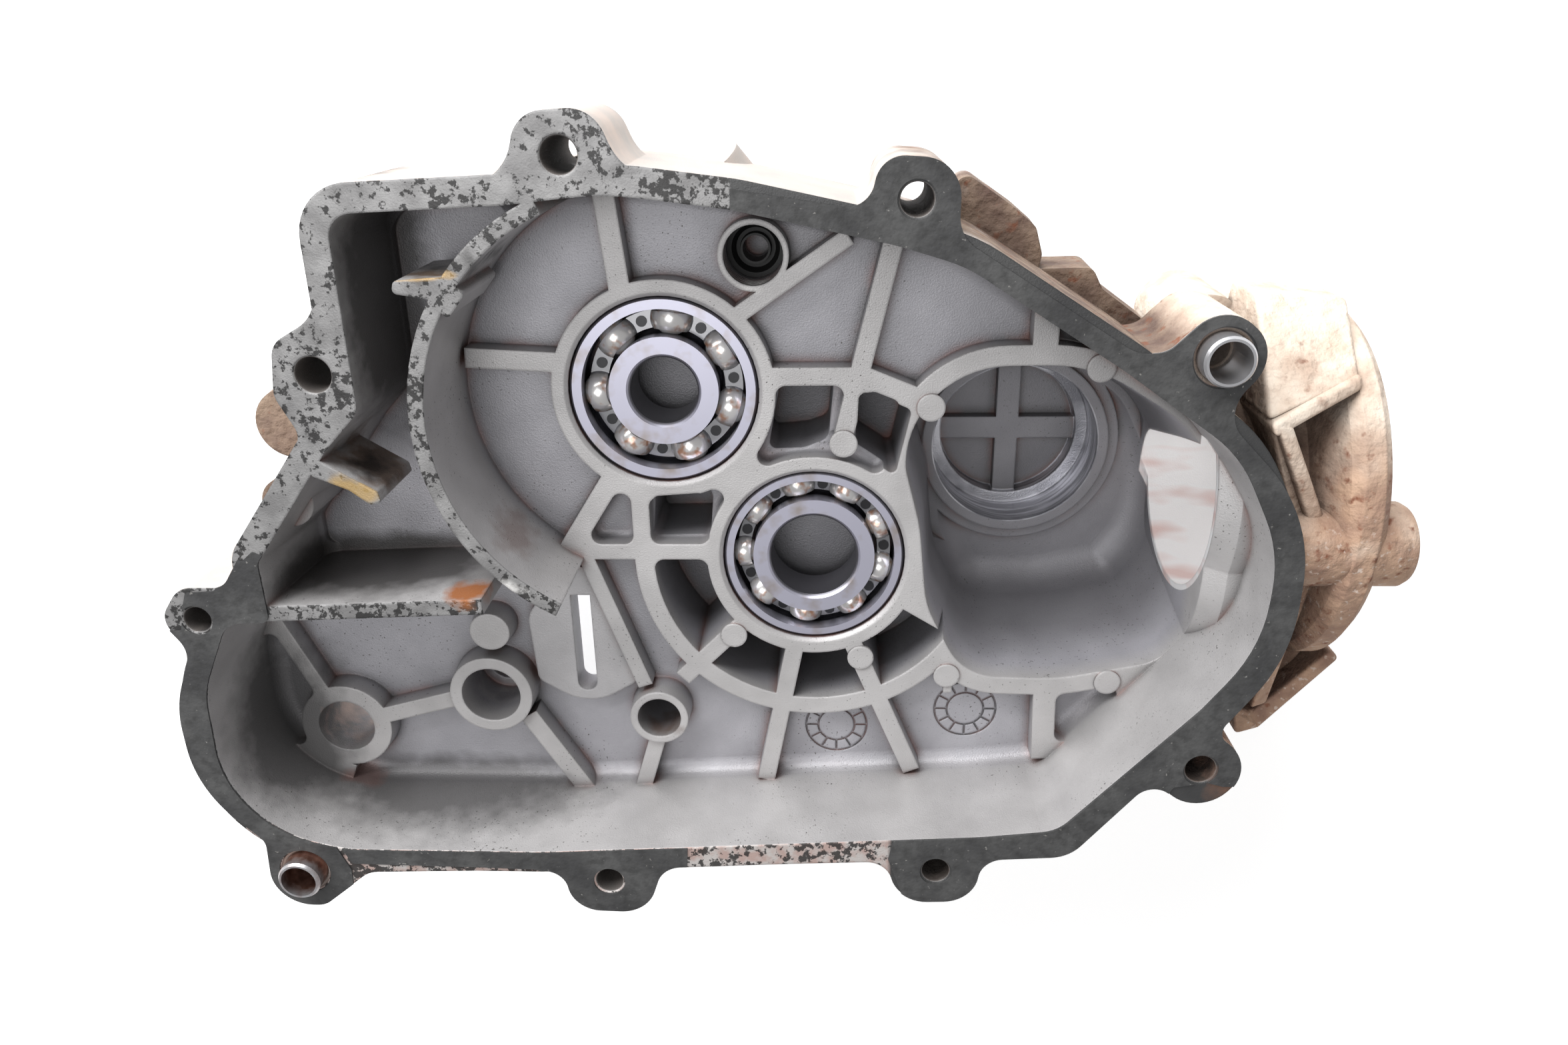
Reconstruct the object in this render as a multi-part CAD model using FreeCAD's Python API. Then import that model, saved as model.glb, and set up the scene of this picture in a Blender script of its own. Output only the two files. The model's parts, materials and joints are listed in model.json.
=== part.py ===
import FreeCAD, Part
import math
import os

# Gearbox housing: one half of a die-cast aluminium case, lying on its back with the open
# joint face up. It holds two deep-groove ball bearings, two dowel sleeves, the torn remains
# of its paper gasket and a rubber ring in the breather hole.
# Origin: on the axis of the lower bearing, at half its width. +X to the nose of the drive
# shaft, +Z out of the open side. Millimetres.

V = FreeCAD.Vector
UP = V(0, 0, 1)

# Levels, along Z
FACE_Z = 31.0            # machined joint face
RIB_Z = 7.0              # tops of the ribs and bearing bosses
FLOOR_Z = 1.5            # floor of the shallow pockets
FLOOR_WALL = 4.0         # thickness of that floor
DEEP_Z = -18.0           # floor of the deep pockets round the lower bearing
DEEP_WALL = 4.0
CHAMBER_Z = -38.0        # floor of the drive chamber
CHAMBER_WALL = 4.5
CHAMBER_DRAFT = 5.0      # how far its walls lean in down to its floor
CHAMBER_FILLET = 8.0
LEFT_ROOM_Z = -2.0       # floor of the small upper left room
BACK_Z = FLOOR_Z - FLOOR_WALL
LUG_Z = 6.0              # lower end of the bolt lugs

# Walls
FLANGE_WIDTH = 5.6
DRAFT = 1.6              # how far the inner walls lean in from the face to the rib tops
FLOOR_FILLET = 3.5       # radius between the inner walls and the floor
ARC_WALL = 3.2           # the curved wall round the upper bearing
ARC_IN = 44.6            # its inner radius
ARC_WALL_FROM, ARC_WALL_TO = 113.0, 242.5   # its ends, degrees about the upper bearing
STRAIGHT_WALL = (-119.0, -2.6, -70.5, -0.7, 3.5)   # x0, y0, x1, y1, width
RIB_WIDTH = 4.2

# Bearing axes
LOWER_X, LOWER_Y = 0.0, 0.0
UPPER_X, UPPER_Y = -32.7, 39.6
BORE_X, BORE_Y = 51.3, 13.8      # closed bearing seat on the floor of the drive chamber
NOSE_Y, NOSE_Z = BORE_Y, -11.0   # axis of the drive shaft, along X, across the seat's axis

# Closed bearing seat on the chamber floor
COLLAR_R = 26.4
COLLAR_Z = -34.0
COLLAR_STEP = 2.6        # radial width of the collar's outer step
COLLAR_STEP_Z = 2.0
SEAT_R = 21.0
SEAT_Z = -47.0           # bottom of the seat
SEAT_RELIEF_R = 18.0
SEAT_RELIEF_Z = -52.0
SEAT_BACK_Z = -56.0
CROSS_WIDTH = 6.0
CROSS_H = 3.5

# Nose of the drive shaft
NOSE_X0 = 86.5           # where its bore opens into the drive chamber
NOSE_BORE_R = 26.0
NOSE_R = 31.0
NOSE_FLANGE_X0 = 109.0
NOSE_FLANGE_X1 = 117.0
NOSE_FLANGE_R = 41.5
NOSE_LIP_R = 33.0
NOSE_LIP_X = 120.0
NOSE_EDGE = 2.0
NOSE_WALL_X = 94.0       # the drum's inner end widens to meet the case wall here
DRUM_FACE = 27.6         # rims of the drum's inner end, radii
DRUM_ROOT = 30.2
SPOUT_Y, SPOUT_Z, SPOUT_R, SPOUT_X = 5.4, 8.0, 9.6, 128.5   # round boss along the nose
WEB_LOW = -34.0

# Bearings, as in the size tables; every size of theirs follows the outside diameter
BEARING_OD = 42.0
BEARING_SCALE = BEARING_OD / 42.0
UPPER_BORE, UPPER_WIDTH = 15.0 * BEARING_SCALE, 13.0 * BEARING_SCALE
LOWER_BORE, LOWER_WIDTH = 20.0 * BEARING_SCALE, 12.0 * BEARING_SCALE
UPPER_BALL, UPPER_COUNT = 7.938 * BEARING_SCALE, 7
LOWER_BALL, LOWER_COUNT = 6.35 * BEARING_SCALE, 9
UPPER_SHOULDER_OUT = 18.1 * BEARING_SCALE     # rims of the ball tracks, radii
UPPER_SHOULDER_IN = 12.1 * BEARING_SCALE
LOWER_SHOULDER_OUT = 18.6 * BEARING_SCALE
LOWER_SHOULDER_IN = 14.0 * BEARING_SCALE
BALL_GAP = 0.03          # clearance between a ball and each track
BEARING_EDGE = 0.8       # chamfer of the rings
SEAT_DEPTH = 1.0         # the bearing face lies this far below the boss top
BOSS_WALL = 3.6          # boss wall outside the bearing
BOSS_CHAMFER = 0.8
CAGE_SHEET = 0.8
CAGE_FILL = 0.66         # radial width of the cage ribbon, as a share of the gap it runs in
CAGE_GAP = 0.05          # clearance between cage and ball
UPPER_TURN, LOWER_TURN = 31.6, 22.8   # where the first ball stands, degrees
RIVET_R = 0.75
RIVET_HEAD_R = 1.2
RIVET_HEAD = 0.35

# Bolt lugs on the joint face: name, x, y, hole radius, lug radius, way out in degrees
LUGS = {
    "top_left": (-45.7, 91.1, 3.4, 7.1, 93.0),
    "top_middle": (19.6, 82.6, 3.1, 7.5, 86.0),
    "right_dowel": (78.7, 52.8, 5.0, 7.7, 50.0),
    "right_low": (85.7, -40.3, 3.3, 8.8, -40.0),
    "bottom_right": (28.3, -68.9, 3.1, 8.8, -88.0),
    "bottom_left": (-48.4, -72.9, 3.1, 8.8, -92.0),
    "left_dowel": (-121.3, -71.0, 5.0, 9.0, -128.0),
    "left_middle": (-133.3, -4.0, 2.9, 6.6, 165.0),
    "left_high": (-98.3, 50.3, 3.6, 7.6, 178.0),
}
DOWEL_OD = 10.0
DOWEL_WALL = 0.9
DOWEL_LENGTH = 12.0
DOWEL_PROUD = 4.2
DOWEL_GAP = 0.02
DOWEL_BOLT_R = 3.6       # bolt hole below a sleeve

# Gasket remains
GASKET = 0.4

# Rubber ring in the breather hole
BREATHER_X, BREATHER_Y = -12.3, 68.9
BREATHER_R = 6.3
BREATHER_RING_IN = 2.8
BREATHER_RING_H = 6.0
BREATHER_GAP = 0.05
BREATHER_FLOOR = -9.0    # shoulder that the ring sits on
BREATHER_END = -12.2     # bottom of the passage below it
BREATHER_RING_STEP = 0.55 * BREATHER_R


def rounded_outline(points, z):
    """Closed wire through corners (x, y, r), each rounded by a tangent arc of radius r.

    Where two arcs would meet on a short side, both shrink to fit it.
    """
    count = len(points)
    corners = []
    for i in range(count):
        x, y, r = points[i]
        here = V(x, y, z)
        before = V(points[i - 1][0], points[i - 1][1], z) - here
        after = V(points[(i + 1) % count][0], points[(i + 1) % count][1], z) - here
        half = before.getAngle(after) / 2.0
        straight = r < 1e-6 or half > math.radians(89.5)
        reach = 0.0 if straight else r / math.tan(half)
        corners.append([here, before, after, half, reach])
    reaches = [c[4] for c in corners]
    for i in range(count):
        fit = 1.0
        for side, other in ((corners[i][1], reaches[i - 1]),
                            (corners[i][2], reaches[(i + 1) % count])):
            if reaches[i] + other > 0.98 * side.Length:
                fit = min(fit, 0.98 * side.Length / (reaches[i] + other))
        corners[i][4] = reaches[i] * fit
    ends = []
    for here, before, after, half, reach in corners:
        if reach == 0.0:
            ends.append((here, None, here))
            continue
        before.normalize()
        after.normalize()
        middle_way = before + after
        middle_way.normalize()
        r = reach * math.tan(half)
        middle = here + middle_way * (r / math.sin(half) - r)
        ends.append((here + before * reach, middle, here + after * reach))
    edges = []
    for i in range(count):
        start, middle, end = ends[i]
        if middle is not None:
            edges.append(Part.Arc(start, middle, end).toShape())
        follow = ends[(i + 1) % count][0]
        if (follow - end).Length > 1e-5:
            edges.append(Part.makeLine(end, follow))
    return Part.Wire(edges)


def prism(points, z_low, z_high):
    return Part.Face(rounded_outline(points, z_low)).extrude(V(0, 0, z_high - z_low))


def post(x, y, r, z_low, z_high):
    return Part.makeCylinder(r, z_high - z_low, V(x, y, z_low))


def cone(x, y, r_low, r_high, z_low, z_high):
    return Part.makeCone(r_low, r_high, z_high - z_low, V(x, y, z_low))


def bar(x0, y0, x1, y1, width, z_low, z_high):
    """Straight rib with square ends between two plan points."""
    along = V(x1 - x0, y1 - y0, 0)
    length = along.Length
    box = Part.makeBox(length, width, z_high - z_low, V(0, -width / 2, 0))
    box.rotate(V(0, 0, 0), UP, math.degrees(math.atan2(along.y, along.x)))
    box.translate(V(x0, y0, z_low))
    return box


def ray(x, y, degrees, r):
    a = math.radians(degrees)
    return x + r * math.cos(a), y + r * math.sin(a)


def radial_bar(x, y, degrees, r0, r1, width, z_low, z_high):
    x0, y0 = ray(x, y, degrees, r0)
    x1, y1 = ray(x, y, degrees, r1)
    return bar(x0, y0, x1, y1, width, z_low, z_high)


def sector(x, y, r_in, r_out, start, end, z_low, z_high):
    """Part of a ring between two angles in degrees, with the end after the start."""
    outer = Part.makeCylinder(r_out, z_high - z_low, V(x, y, z_low), UP, end - start)
    inner = Part.makeCylinder(r_in, z_high - z_low, V(x, y, z_low))
    outer.rotate(V(x, y, 0), UP, start)
    return outer.cut(inner)


def lug_corners(name, flare_in, flare_out, depth_in, depth_out, r_in=6.0, r_out=6.0, ahead=0.0):
    """Four corners that lead an outline round a lug: foot, head, head, foot, clockwise.

    The lug's round head may stand a little ahead of its hole.
    """
    x, y, _, r, degrees = LUGS[name]
    a = math.radians(degrees)
    out = (math.cos(a), math.sin(a))
    left = (-out[1], out[0])

    def at(forward, side, radius):
        return (x + out[0] * forward + left[0] * side, y + out[1] * forward + left[1] * side,
                radius)

    return [at(-depth_in, r + flare_in, r_in), at(r + ahead, r, r * 0.97),
            at(r + ahead, -r, r * 0.97), at(-depth_out, -r - flare_out, r_out)]


# The joint face outline, clockwise from its top left corner
OUTLINE = (
    [(-94.6, 85.9, 14.0)]
    + lug_corners("top_left", 3.4, 4.2, 4.4, 4.0, 10.0, 10.0, 0.8)
    + [(-20.0, 85.7, 60.0)]
    + lug_corners("top_middle", 1.0, 0.8, 2.6, 6.2, 7.0, 7.0)
    + [(62.5, 53.4, 8.0)]
    + lug_corners("right_dowel", 1.2, 0.2, 6.0, 8.0, 5.0, 7.0)
    + [(100.8, 20.0, 38.0), (100.8, -12.0, 38.0), (90.0, -28.0, 5.0)]
    + lug_corners("right_low", -0.5, 0.2, 4.5, 6.0, 4.0, 5.0)
    + [(58.6, -64.3, 9.0)]
    + lug_corners("bottom_right", 1.8, 2.6, 3.0, 2.8, 6.0, 6.0)
    + lug_corners("bottom_left", 4.0, 2.0, 4.6, 2.6, 6.0, 6.0)
    + [(-106.0, -71.3, 6.0)]
    + [(-118.0, -81.0, 5.0), (-130.5, -81.0, 9.0), (-129.3, -62.5, 4.0)]
    + [(-142.6, -48.0, 30.0), (-142.6, -26.0, 30.0), (-136.5, -11.5, 6.0)]
    + [(-141.5, -4.0, 5.0), (-136.0, 3.6, 5.5), (-126.0, 3.6, 5.0)]
    + [(-103.0, 37.6, 4.0), (-107.0, 46.0, 5.0), (-105.5, 56.5, 5.0), (-95.6, 62.0, 8.0)]
)

# Inner edge of the flange, at the joint face, clockwise
INNER = [
    (-90.6, 81.0, 5.0), (-57.0, 82.3, 30.0), (-38.0, 84.2, 60.0), (-14.0, 81.0, 40.0),
    (16.0, 74.4, 60.0), (29.0, 70.4, 30.0), (60.0, 50.4, 60.0), (84.5, 33.0, 30.0),
    (95.2, 12.0, 34.0), (94.6, -10.0, 34.0), (84.0, -25.0, 30.0), (55.5, -57.4, 9.0),
    (38.0, -59.4, 60.0), (-30.0, -63.2, 80.0), (-64.0, -65.0, 80.0), (-110.0, -64.8, 28.0),
    (-137.0, -58.0, 26.0), (-135.4, -22.0, 24.0), (-127.0, -4.6, 6.0), (-117.3, -4.6, 2.0),
    (-117.3, 9.5, 3.0), (-98.4, 34.6, 4.0), (-90.6, 42.5, 5.0),
]


def leaned(points, inset, z):
    """The same outline moved in by the draft, at another level."""
    wire = rounded_outline(points, FACE_Z)
    if inset:
        wire = wire.makeOffset2D(-inset)
    wire = wire.copy()
    wire.translate(V(0, 0, z - FACE_Z))
    return wire


def tool(points, top_z, inset, bottom_z, fillet):
    """Solid with leaning walls: the outline at the top, moved in by inset at the bottom."""
    solid = Part.makeLoft([leaned(points, 0, top_z), leaned(points, inset, bottom_z)], True, True)
    if fillet > 0:
        low = [e for e in solid.Edges
               if max(abs(v.Z - bottom_z) for v in e.Vertexes) < 1e-4]
        solid = solid.makeFillet(fillet, low)
    return solid


# Drive chamber, clockwise, at the rib tops
CHAMBER = [
    (21.0, 45.0, 24.0), (60.0, 45.4, 34.0), (83.0, 31.0, 26.0), (93.2, 11.0, 34.0),
    (92.4, -11.0, 34.0), (81.0, -27.0, 10.0), (58.0, -31.6, 44.0), (35.5, -31.0, 14.0),
    (26.0, -12.0, 24.0), (24.0, 8.0, 44.0), (20.4, 22.0, 12.0),
]

# Small room at the upper left, clockwise, at its floor
LEFT_ROOM = [
    (-89.0, 79.0, 6.0), (-60.0, 80.5, 3.0), (-74.0, 66.0, 60.0), (-82.5, 44.0, 40.0),
    (-81.0, 20.0, 30.0), (-71.0, 1.6, 3.0), (-115.5, 1.0, 3.0), (-115.5, 9.5, 3.0),
    (-97.0, 34.0, 4.0), (-89.0, 42.5, 5.0),
]

# Deep pockets between the bearings and round the lower one
DEEP_POCKETS = [
    [(-7.3, 40.6, 1.6), (4.6, 40.6, 1.6), (3.4, 27.2, 3.0), (-2.0, 25.2, 6.0), (-10.2, 24.8, 1.6)],
    [(10.0, 39.4, 1.6), (13.0, 39.4, 1.6), (21.6, 35.4, 1.6), (18.2, 20.2, 1.2),
     (9.4, 26.2, 2.0)],
    [(-36.4, 15.4, 1.6), (-23.0, 16.4, 3.0), (-24.0, 4.0, 1.6), (-37.4, 3.8, 1.6)],
]
RIM_X, RIM_Y = LOWER_X, LOWER_Y
RIM_IN, RIM_OUT = 37.0, 41.4
RING_RIBS = (225.0, 258.7, 292.5)       # radial ribs below the lower bearing, degrees
RING_RIB_REACH = (RIM_OUT + 3.6, 62.0, 62.6)

BOSS_R = BEARING_OD / 2 + BOSS_WALL
SLOT = (-55.6, -10.5, -34.0, 4.7)       # x, upper end, lower end, width
SEATS = {
    "upper": (UPPER_X, UPPER_Y, UPPER_BORE, UPPER_WIDTH),
    "lower": (LOWER_X, LOWER_Y, LOWER_BORE, LOWER_WIDTH),
}
FACE_OF_BEARING = RIB_Z - SEAT_DEPTH
RELIEF_R = 0.74 * BEARING_OD / 2
RELIEF_DEPTH = 5.0
SEAT_FLOOR = 4.0

# Ring bosses on the left floor: x, y, outer radius, bore radius, top, bottom of the bore
RING_BOSSES = {
    "through": (-116.8, -46.0, 11.3, 7.0, RIB_Z, -30.0),
    "middle": (-78.8, -35.9, 10.1, 7.2, RIB_Z + 1.5, -8.0),
    "small": (-37.9, -42.0, 7.1, 5.3, RIB_Z + 1.7, -12.0),
}
MIDDLE_STEP_R = 4.8      # smaller hole at the bottom of the middle boss
MIDDLE_STEP_Z = -10.5
WALL_RECESS = (81.0, -17.0, 2.4, 3.7)   # pocket beside the nose bore: x, y, low and high radius
BREATHER_THREADS = (5.0, 3.4, 1.8, 0.2)

# Straight ribs at the rib tops: x0, y0, x1, y1, width
RIBS = [
    (-40.5, 60.0, -42.8, 82.0, 4.6), (-55.0, 46.4, -75.5, 47.6, 4.4),
    (-44.5, 21.0, -57.0, 1.6, 4.6), (-15.6, 56.6, 7.6, 72.6, 3.6),
    (6.6, 29.0, 17.2, 73.0, 4.2), (-12.0, 43.0, 9.0, 43.0, 4.0),
    (11.0, 43.0, 26.0, 36.8, 4.4), (49.4, 42.0, 49.4, 58.0, 5.4),
    (-39.4, 18.0, -39.4, -1.0, 4.0), (-54.0, 1.6, -23.0, 1.6, 3.8),
    (-53.0, 0.5, -41.0, -34.0, 3.6), (-70.6, -42.5, -57.4, -65.0, 4.6),
    (-38.8, -48.6, -43.6, -64.4, 4.0), (-107.0, -43.0, -87.0, -37.6, 4.2),
    (-121.4, -36.0, -131.0, -14.0, 3.8), (-118.0, -57.0, -120.4, -63.0, 4.0),
    (31.0, -31.4, 33.0, -31.4, 8.0), (55.2, -33.0, 56.0, -54.0, 5.4),
    (19.6, 21.5, 26.0, 37.0, 4.4),
]
BLIND_BOSSES = [(-77.5, -19.0, 4.8)]
CHAMBER_BAND = 4.4       # width of the band round the chamber's mouth
POCKET_CORNER = 2.3      # plan radius of the pockets' corners
POCKET_FILLET = 1.4      # radius along their bottom edges
EJECTOR_MARKS = [
    (6.7, 27.8), (25.7, 36.0), (61.6, 44.6), (-19.0, -19.9), (11.0, -25.8), (31.6, -30.6),
    (69.8, -32.2),
]
EJECTOR_R = 3.1
EJECTOR_UP = 0.4
DIALS = [(5.4, -48.0), (37.2, -43.2)]
DIAL_R = 7.8
DIAL_CUT = 0.35
DIAL_TICKS = 12


def outer_skin():
    """Walls and back of the case before it is hollowed."""
    walls = leaned(INNER, -FLANGE_WIDTH, BACK_Z)
    skin = Part.Face(walls).extrude(V(0, 0, FACE_Z - BACK_Z))
    skin = skin.fuse(prism(OUTLINE, LUG_Z, FACE_Z))
    chamber_high = leaned(CHAMBER, -CHAMBER_WALL, RIB_Z)
    chamber_low = leaned(CHAMBER, CHAMBER_DRAFT - CHAMBER_WALL, CHAMBER_Z - CHAMBER_WALL)
    chamber = Part.makeLoft([chamber_high, chamber_low], True, True)
    low = [e for e in chamber.Edges
           if max(abs(v.Z - CHAMBER_Z + CHAMBER_WALL) for v in e.Vertexes) < 1e-4]
    skin = skin.fuse(chamber.makeFillet(CHAMBER_FILLET, low))
    skin = skin.fuse(cone(BORE_X, BORE_Y, SEAT_R + 3.0, COLLAR_R + 2.0, SEAT_BACK_Z, COLLAR_Z))
    drum = cone(RIM_X, RIM_Y, RIM_OUT - 2.0, RIM_OUT, DEEP_Z - DEEP_WALL, BACK_Z + 1.0)
    skin = skin.fuse(drum)
    skin = skin.fuse(cone(UPPER_X, UPPER_Y, BOSS_R - 1.0, BOSS_R + 1.5,
                          FACE_OF_BEARING - UPPER_WIDTH - RELIEF_DEPTH - SEAT_FLOOR, BACK_Z + 1.0))
    middle = [(-12.0, 46.0, 4.0), (12.0, 46.0, 4.0), (27.0, 39.0, 4.0), (24.0, 14.0, 4.0),
              (-42.0, 0.0, 4.0), (-42.0, 20.0, 4.0)]
    skin = skin.fuse(prism(middle, DEEP_Z - DEEP_WALL, BACK_Z + 1.0))
    for x, y, _, bore, _, depth in RING_BOSSES.values():
        skin = skin.fuse(cone(x, y, bore + 2.6, bore + 3.4, max(depth, -11.0) - 4.0, BACK_Z + 1.0))
    skin = skin.fuse(post(BREATHER_X, BREATHER_Y, BREATHER_R + 3.5, -14.0, BACK_Z + 1.0))
    room = leaned(LEFT_ROOM, -4.0, LEFT_ROOM_Z - FLOOR_WALL)
    skin = skin.fuse(Part.Face(room).extrude(V(0, 0, BACK_Z + 1.0 - LEFT_ROOM_Z + FLOOR_WALL)))
    return skin


def along_x(r, x0, x1, y=NOSE_Y, z=NOSE_Z):
    return Part.makeCylinder(r, x1 - x0, V(x0, y, z), V(1, 0, 0))


def turned_along_x(profile):
    """Solid turned about the nose's axis from (x, radius) points."""
    points = [V(x, NOSE_Y + r, NOSE_Z) for x, r in profile]
    face = Part.Face(Part.makePolygon(points + [points[0]]))
    return face.revolve(V(0, NOSE_Y, NOSE_Z), V(1, 0, 0), 360)


def nose_skin():
    """Drum, mounting flange and round boss of the drive shaft's nose, along the X axis."""
    edge = NOSE_EDGE
    drum = turned_along_x([
        (NOSE_WALL_X - 6.0, 0.0), (NOSE_WALL_X - 6.0, NOSE_R), (NOSE_FLANGE_X0 - 5.0, NOSE_R),
        (NOSE_FLANGE_X0, NOSE_FLANGE_R - edge), (NOSE_FLANGE_X0 + edge, NOSE_FLANGE_R),
        (NOSE_FLANGE_X1 - edge, NOSE_FLANGE_R), (NOSE_FLANGE_X1, NOSE_FLANGE_R - edge),
        (NOSE_FLANGE_X1, NOSE_LIP_R), (NOSE_LIP_X, NOSE_LIP_R), (NOSE_LIP_X, 0.0)])
    spout = along_x(SPOUT_R, NOSE_WALL_X - 4.0, SPOUT_X, SPOUT_Y, SPOUT_Z)
    rim = [e for e in spout.Edges if max(abs(v.X - SPOUT_X) for v in e.Vertexes) < 1e-4]
    return [drum, spout.makeFillet(3.0, rim)]


def drum_inside():
    """Inner end of the drum, standing out of the case wall into the drive chamber."""
    end = turned_along_x([(NOSE_X0, 0.0), (NOSE_X0, DRUM_FACE), (NOSE_WALL_X - 3.0, DRUM_ROOT),
                          (NOSE_WALL_X + 6.0, DRUM_ROOT), (NOSE_WALL_X + 6.0, 0.0)])
    low = end.copy()
    low.translate(V(0, -15.0, -3.0))
    return [end, low]


def plate(points, z_low, z_high, lean):
    """Web whose walls lean in by lean from its low end to its high end."""
    high = rounded_outline([(x, y, 2.5) for x, y in points], z_high)
    low = high.makeOffset2D(lean)
    low.translate(V(0, 0, z_low - z_high))
    return Part.makeLoft([low, high], True, True)


def webs():
    """Gusset webs and lugs between the outer wall and the nose flange."""
    top = [(84.0, 44.0), (90.0, 51.0), (99.0, 51.5), (115.0, 49.5), (116.5, 41.5), (102.5, 29.5),
           (92.0, 30.0)]
    low = [(90.0, -30.0), (112.0, -8.0), (117.0, -22.0), (110.0, -35.0), (100.5, -45.5),
           (91.0, -45.0)]
    rail = [(92.0, 30.0), (102.5, 29.5), (112.0, 6.0), (108.0, 4.0), (100.0, 22.0)]
    return [plate(top, WEB_LOW, 8.0, 1.0), plate(low, WEB_LOW + 6.0, 4.0, 1.0),
            plate(rail, -20.0, 12.0, 0.5), cone(87.5, 48.5, 9.5, 8.6, WEB_LOW, -8.0)]


def bearing_seats():
    """What is bored out of the casting for the two bearings."""
    cuts = []
    for x, y, _, width in SEATS.values():
        bottom = FACE_OF_BEARING - width
        cuts.append(post(x, y, BEARING_OD / 2, bottom, RIB_Z + 1.0))
        cuts.append(cone(x, y, BEARING_OD / 2, BEARING_OD / 2 + BOSS_CHAMFER + 0.5,
                         RIB_Z - BOSS_CHAMFER, RIB_Z + 0.5))
        cuts.append(post(x, y, RELIEF_R, bottom - RELIEF_DEPTH, bottom + 0.5))
    return cuts


def seat_cuts():
    """Stepped closed bearing seat on the chamber floor."""
    return [
        post(BORE_X, BORE_Y, SEAT_R, SEAT_Z, COLLAR_Z + 1.0),
        post(BORE_X, BORE_Y, SEAT_RELIEF_R, SEAT_RELIEF_Z, SEAT_Z + 0.5),
        sector(BORE_X, BORE_Y, COLLAR_R - COLLAR_STEP, COLLAR_R + 6.0, 0, 360,
               COLLAR_Z - COLLAR_STEP_Z, COLLAR_Z + 1.0),
    ]


def seat_cross():
    """Raised cross on the floor of the closed seat."""
    shapes = []
    for turn in (0.0, 90.0):
        shapes.append(radial_bar(BORE_X, BORE_Y, turn, -SEAT_RELIEF_R - 0.2, SEAT_RELIEF_R + 0.2,
                                 CROSS_WIDTH, SEAT_RELIEF_Z, SEAT_RELIEF_Z + CROSS_H))
    return shapes


def pocket_cuts():
    """Deep pockets, open to the rib tops."""
    cuts = [prism(points, DEEP_Z, RIB_Z + 1.0) for points in DEEP_POCKETS]
    ring = sector(RIM_X, RIM_Y, BOSS_R, RIM_IN, 184.0, 328.0, DEEP_Z, RIB_Z + 1.0)
    for degrees in RING_RIBS:
        ring = ring.cut(radial_bar(RIM_X, RIM_Y, degrees, BOSS_R - 3.0, RIM_IN + 3.0, RIB_WIDTH,
                                   DEEP_Z - 1.0, RIB_Z + 2.0))
    cuts.append(ring)
    return cuts


def plan_bar(x0, y0, x1, y1, width):
    """Flat rectangle of a straight rib, at height 0."""
    along = V(x1 - x0, y1 - y0, 0)
    side = V(-along.y, along.x, 0).normalize() * (width / 2)
    start, end = V(x0, y0, 0), V(x1, y1, 0)
    corners = [start + side, end + side, end - side, start - side]
    return Part.Face(Part.makePolygon(corners + [corners[0]]))


def plan_disc(x, y, r):
    return Part.Face(Part.Wire(Part.makeCircle(r, V(x, y, 0))))


def plan_ray(degrees, r0, r1):
    return plan_bar(*ray(RIM_X, RIM_Y, degrees, r0), *ray(RIM_X, RIM_Y, degrees, r1), RIB_WIDTH)


def plan_arc_wall():
    """Flat ring sector of the curved wall, as a fan of points out and back."""
    count = 40
    start, end = ARC_WALL_FROM, ARC_WALL_TO
    turns = [start + (end - start) * i / count for i in range(count + 1)]
    points = [V(*ray(UPPER_X, UPPER_Y, a, ARC_IN + ARC_WALL), 0) for a in turns]
    points += [V(*ray(UPPER_X, UPPER_Y, a, ARC_IN), 0) for a in reversed(turns)]
    return Part.Face(Part.makePolygon(points + [points[0]]))


def rib_plans():
    """Flat shapes of everything that stands level with the rib tops."""
    plans = [plan_bar(*rib) for rib in RIBS]
    plans.append(plan_arc_wall())
    plans.append(plan_bar(*STRAIGHT_WALL))
    plans.append(plan_disc(RIM_X, RIM_Y, RIM_OUT).cut(plan_disc(RIM_X, RIM_Y, RIM_IN)).common(
        plan_bar(-60.0, -22.0, 31.0, -22.0, 46.0)))
    for degrees, reach in zip(RING_RIBS, RING_RIB_REACH):
        plans.append(plan_ray(degrees, BOSS_R - 1.0, reach))
    for x, y in ((UPPER_X, UPPER_Y), (LOWER_X, LOWER_Y)):
        plans.append(plan_disc(x, y, BOSS_R))
    for x, y, outer, _, _, _ in RING_BOSSES.values():
        plans.append(plan_disc(x, y, outer))
    for x, y, r in BLIND_BOSSES:
        plans.append(plan_disc(x, y, r))
    plans.append(plan_disc(BREATHER_X, BREATHER_Y, BREATHER_R + 1.2))
    plans.append(Part.Face(leaned(CHAMBER, -CHAMBER_BAND, 0.0)))
    return plans


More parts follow.
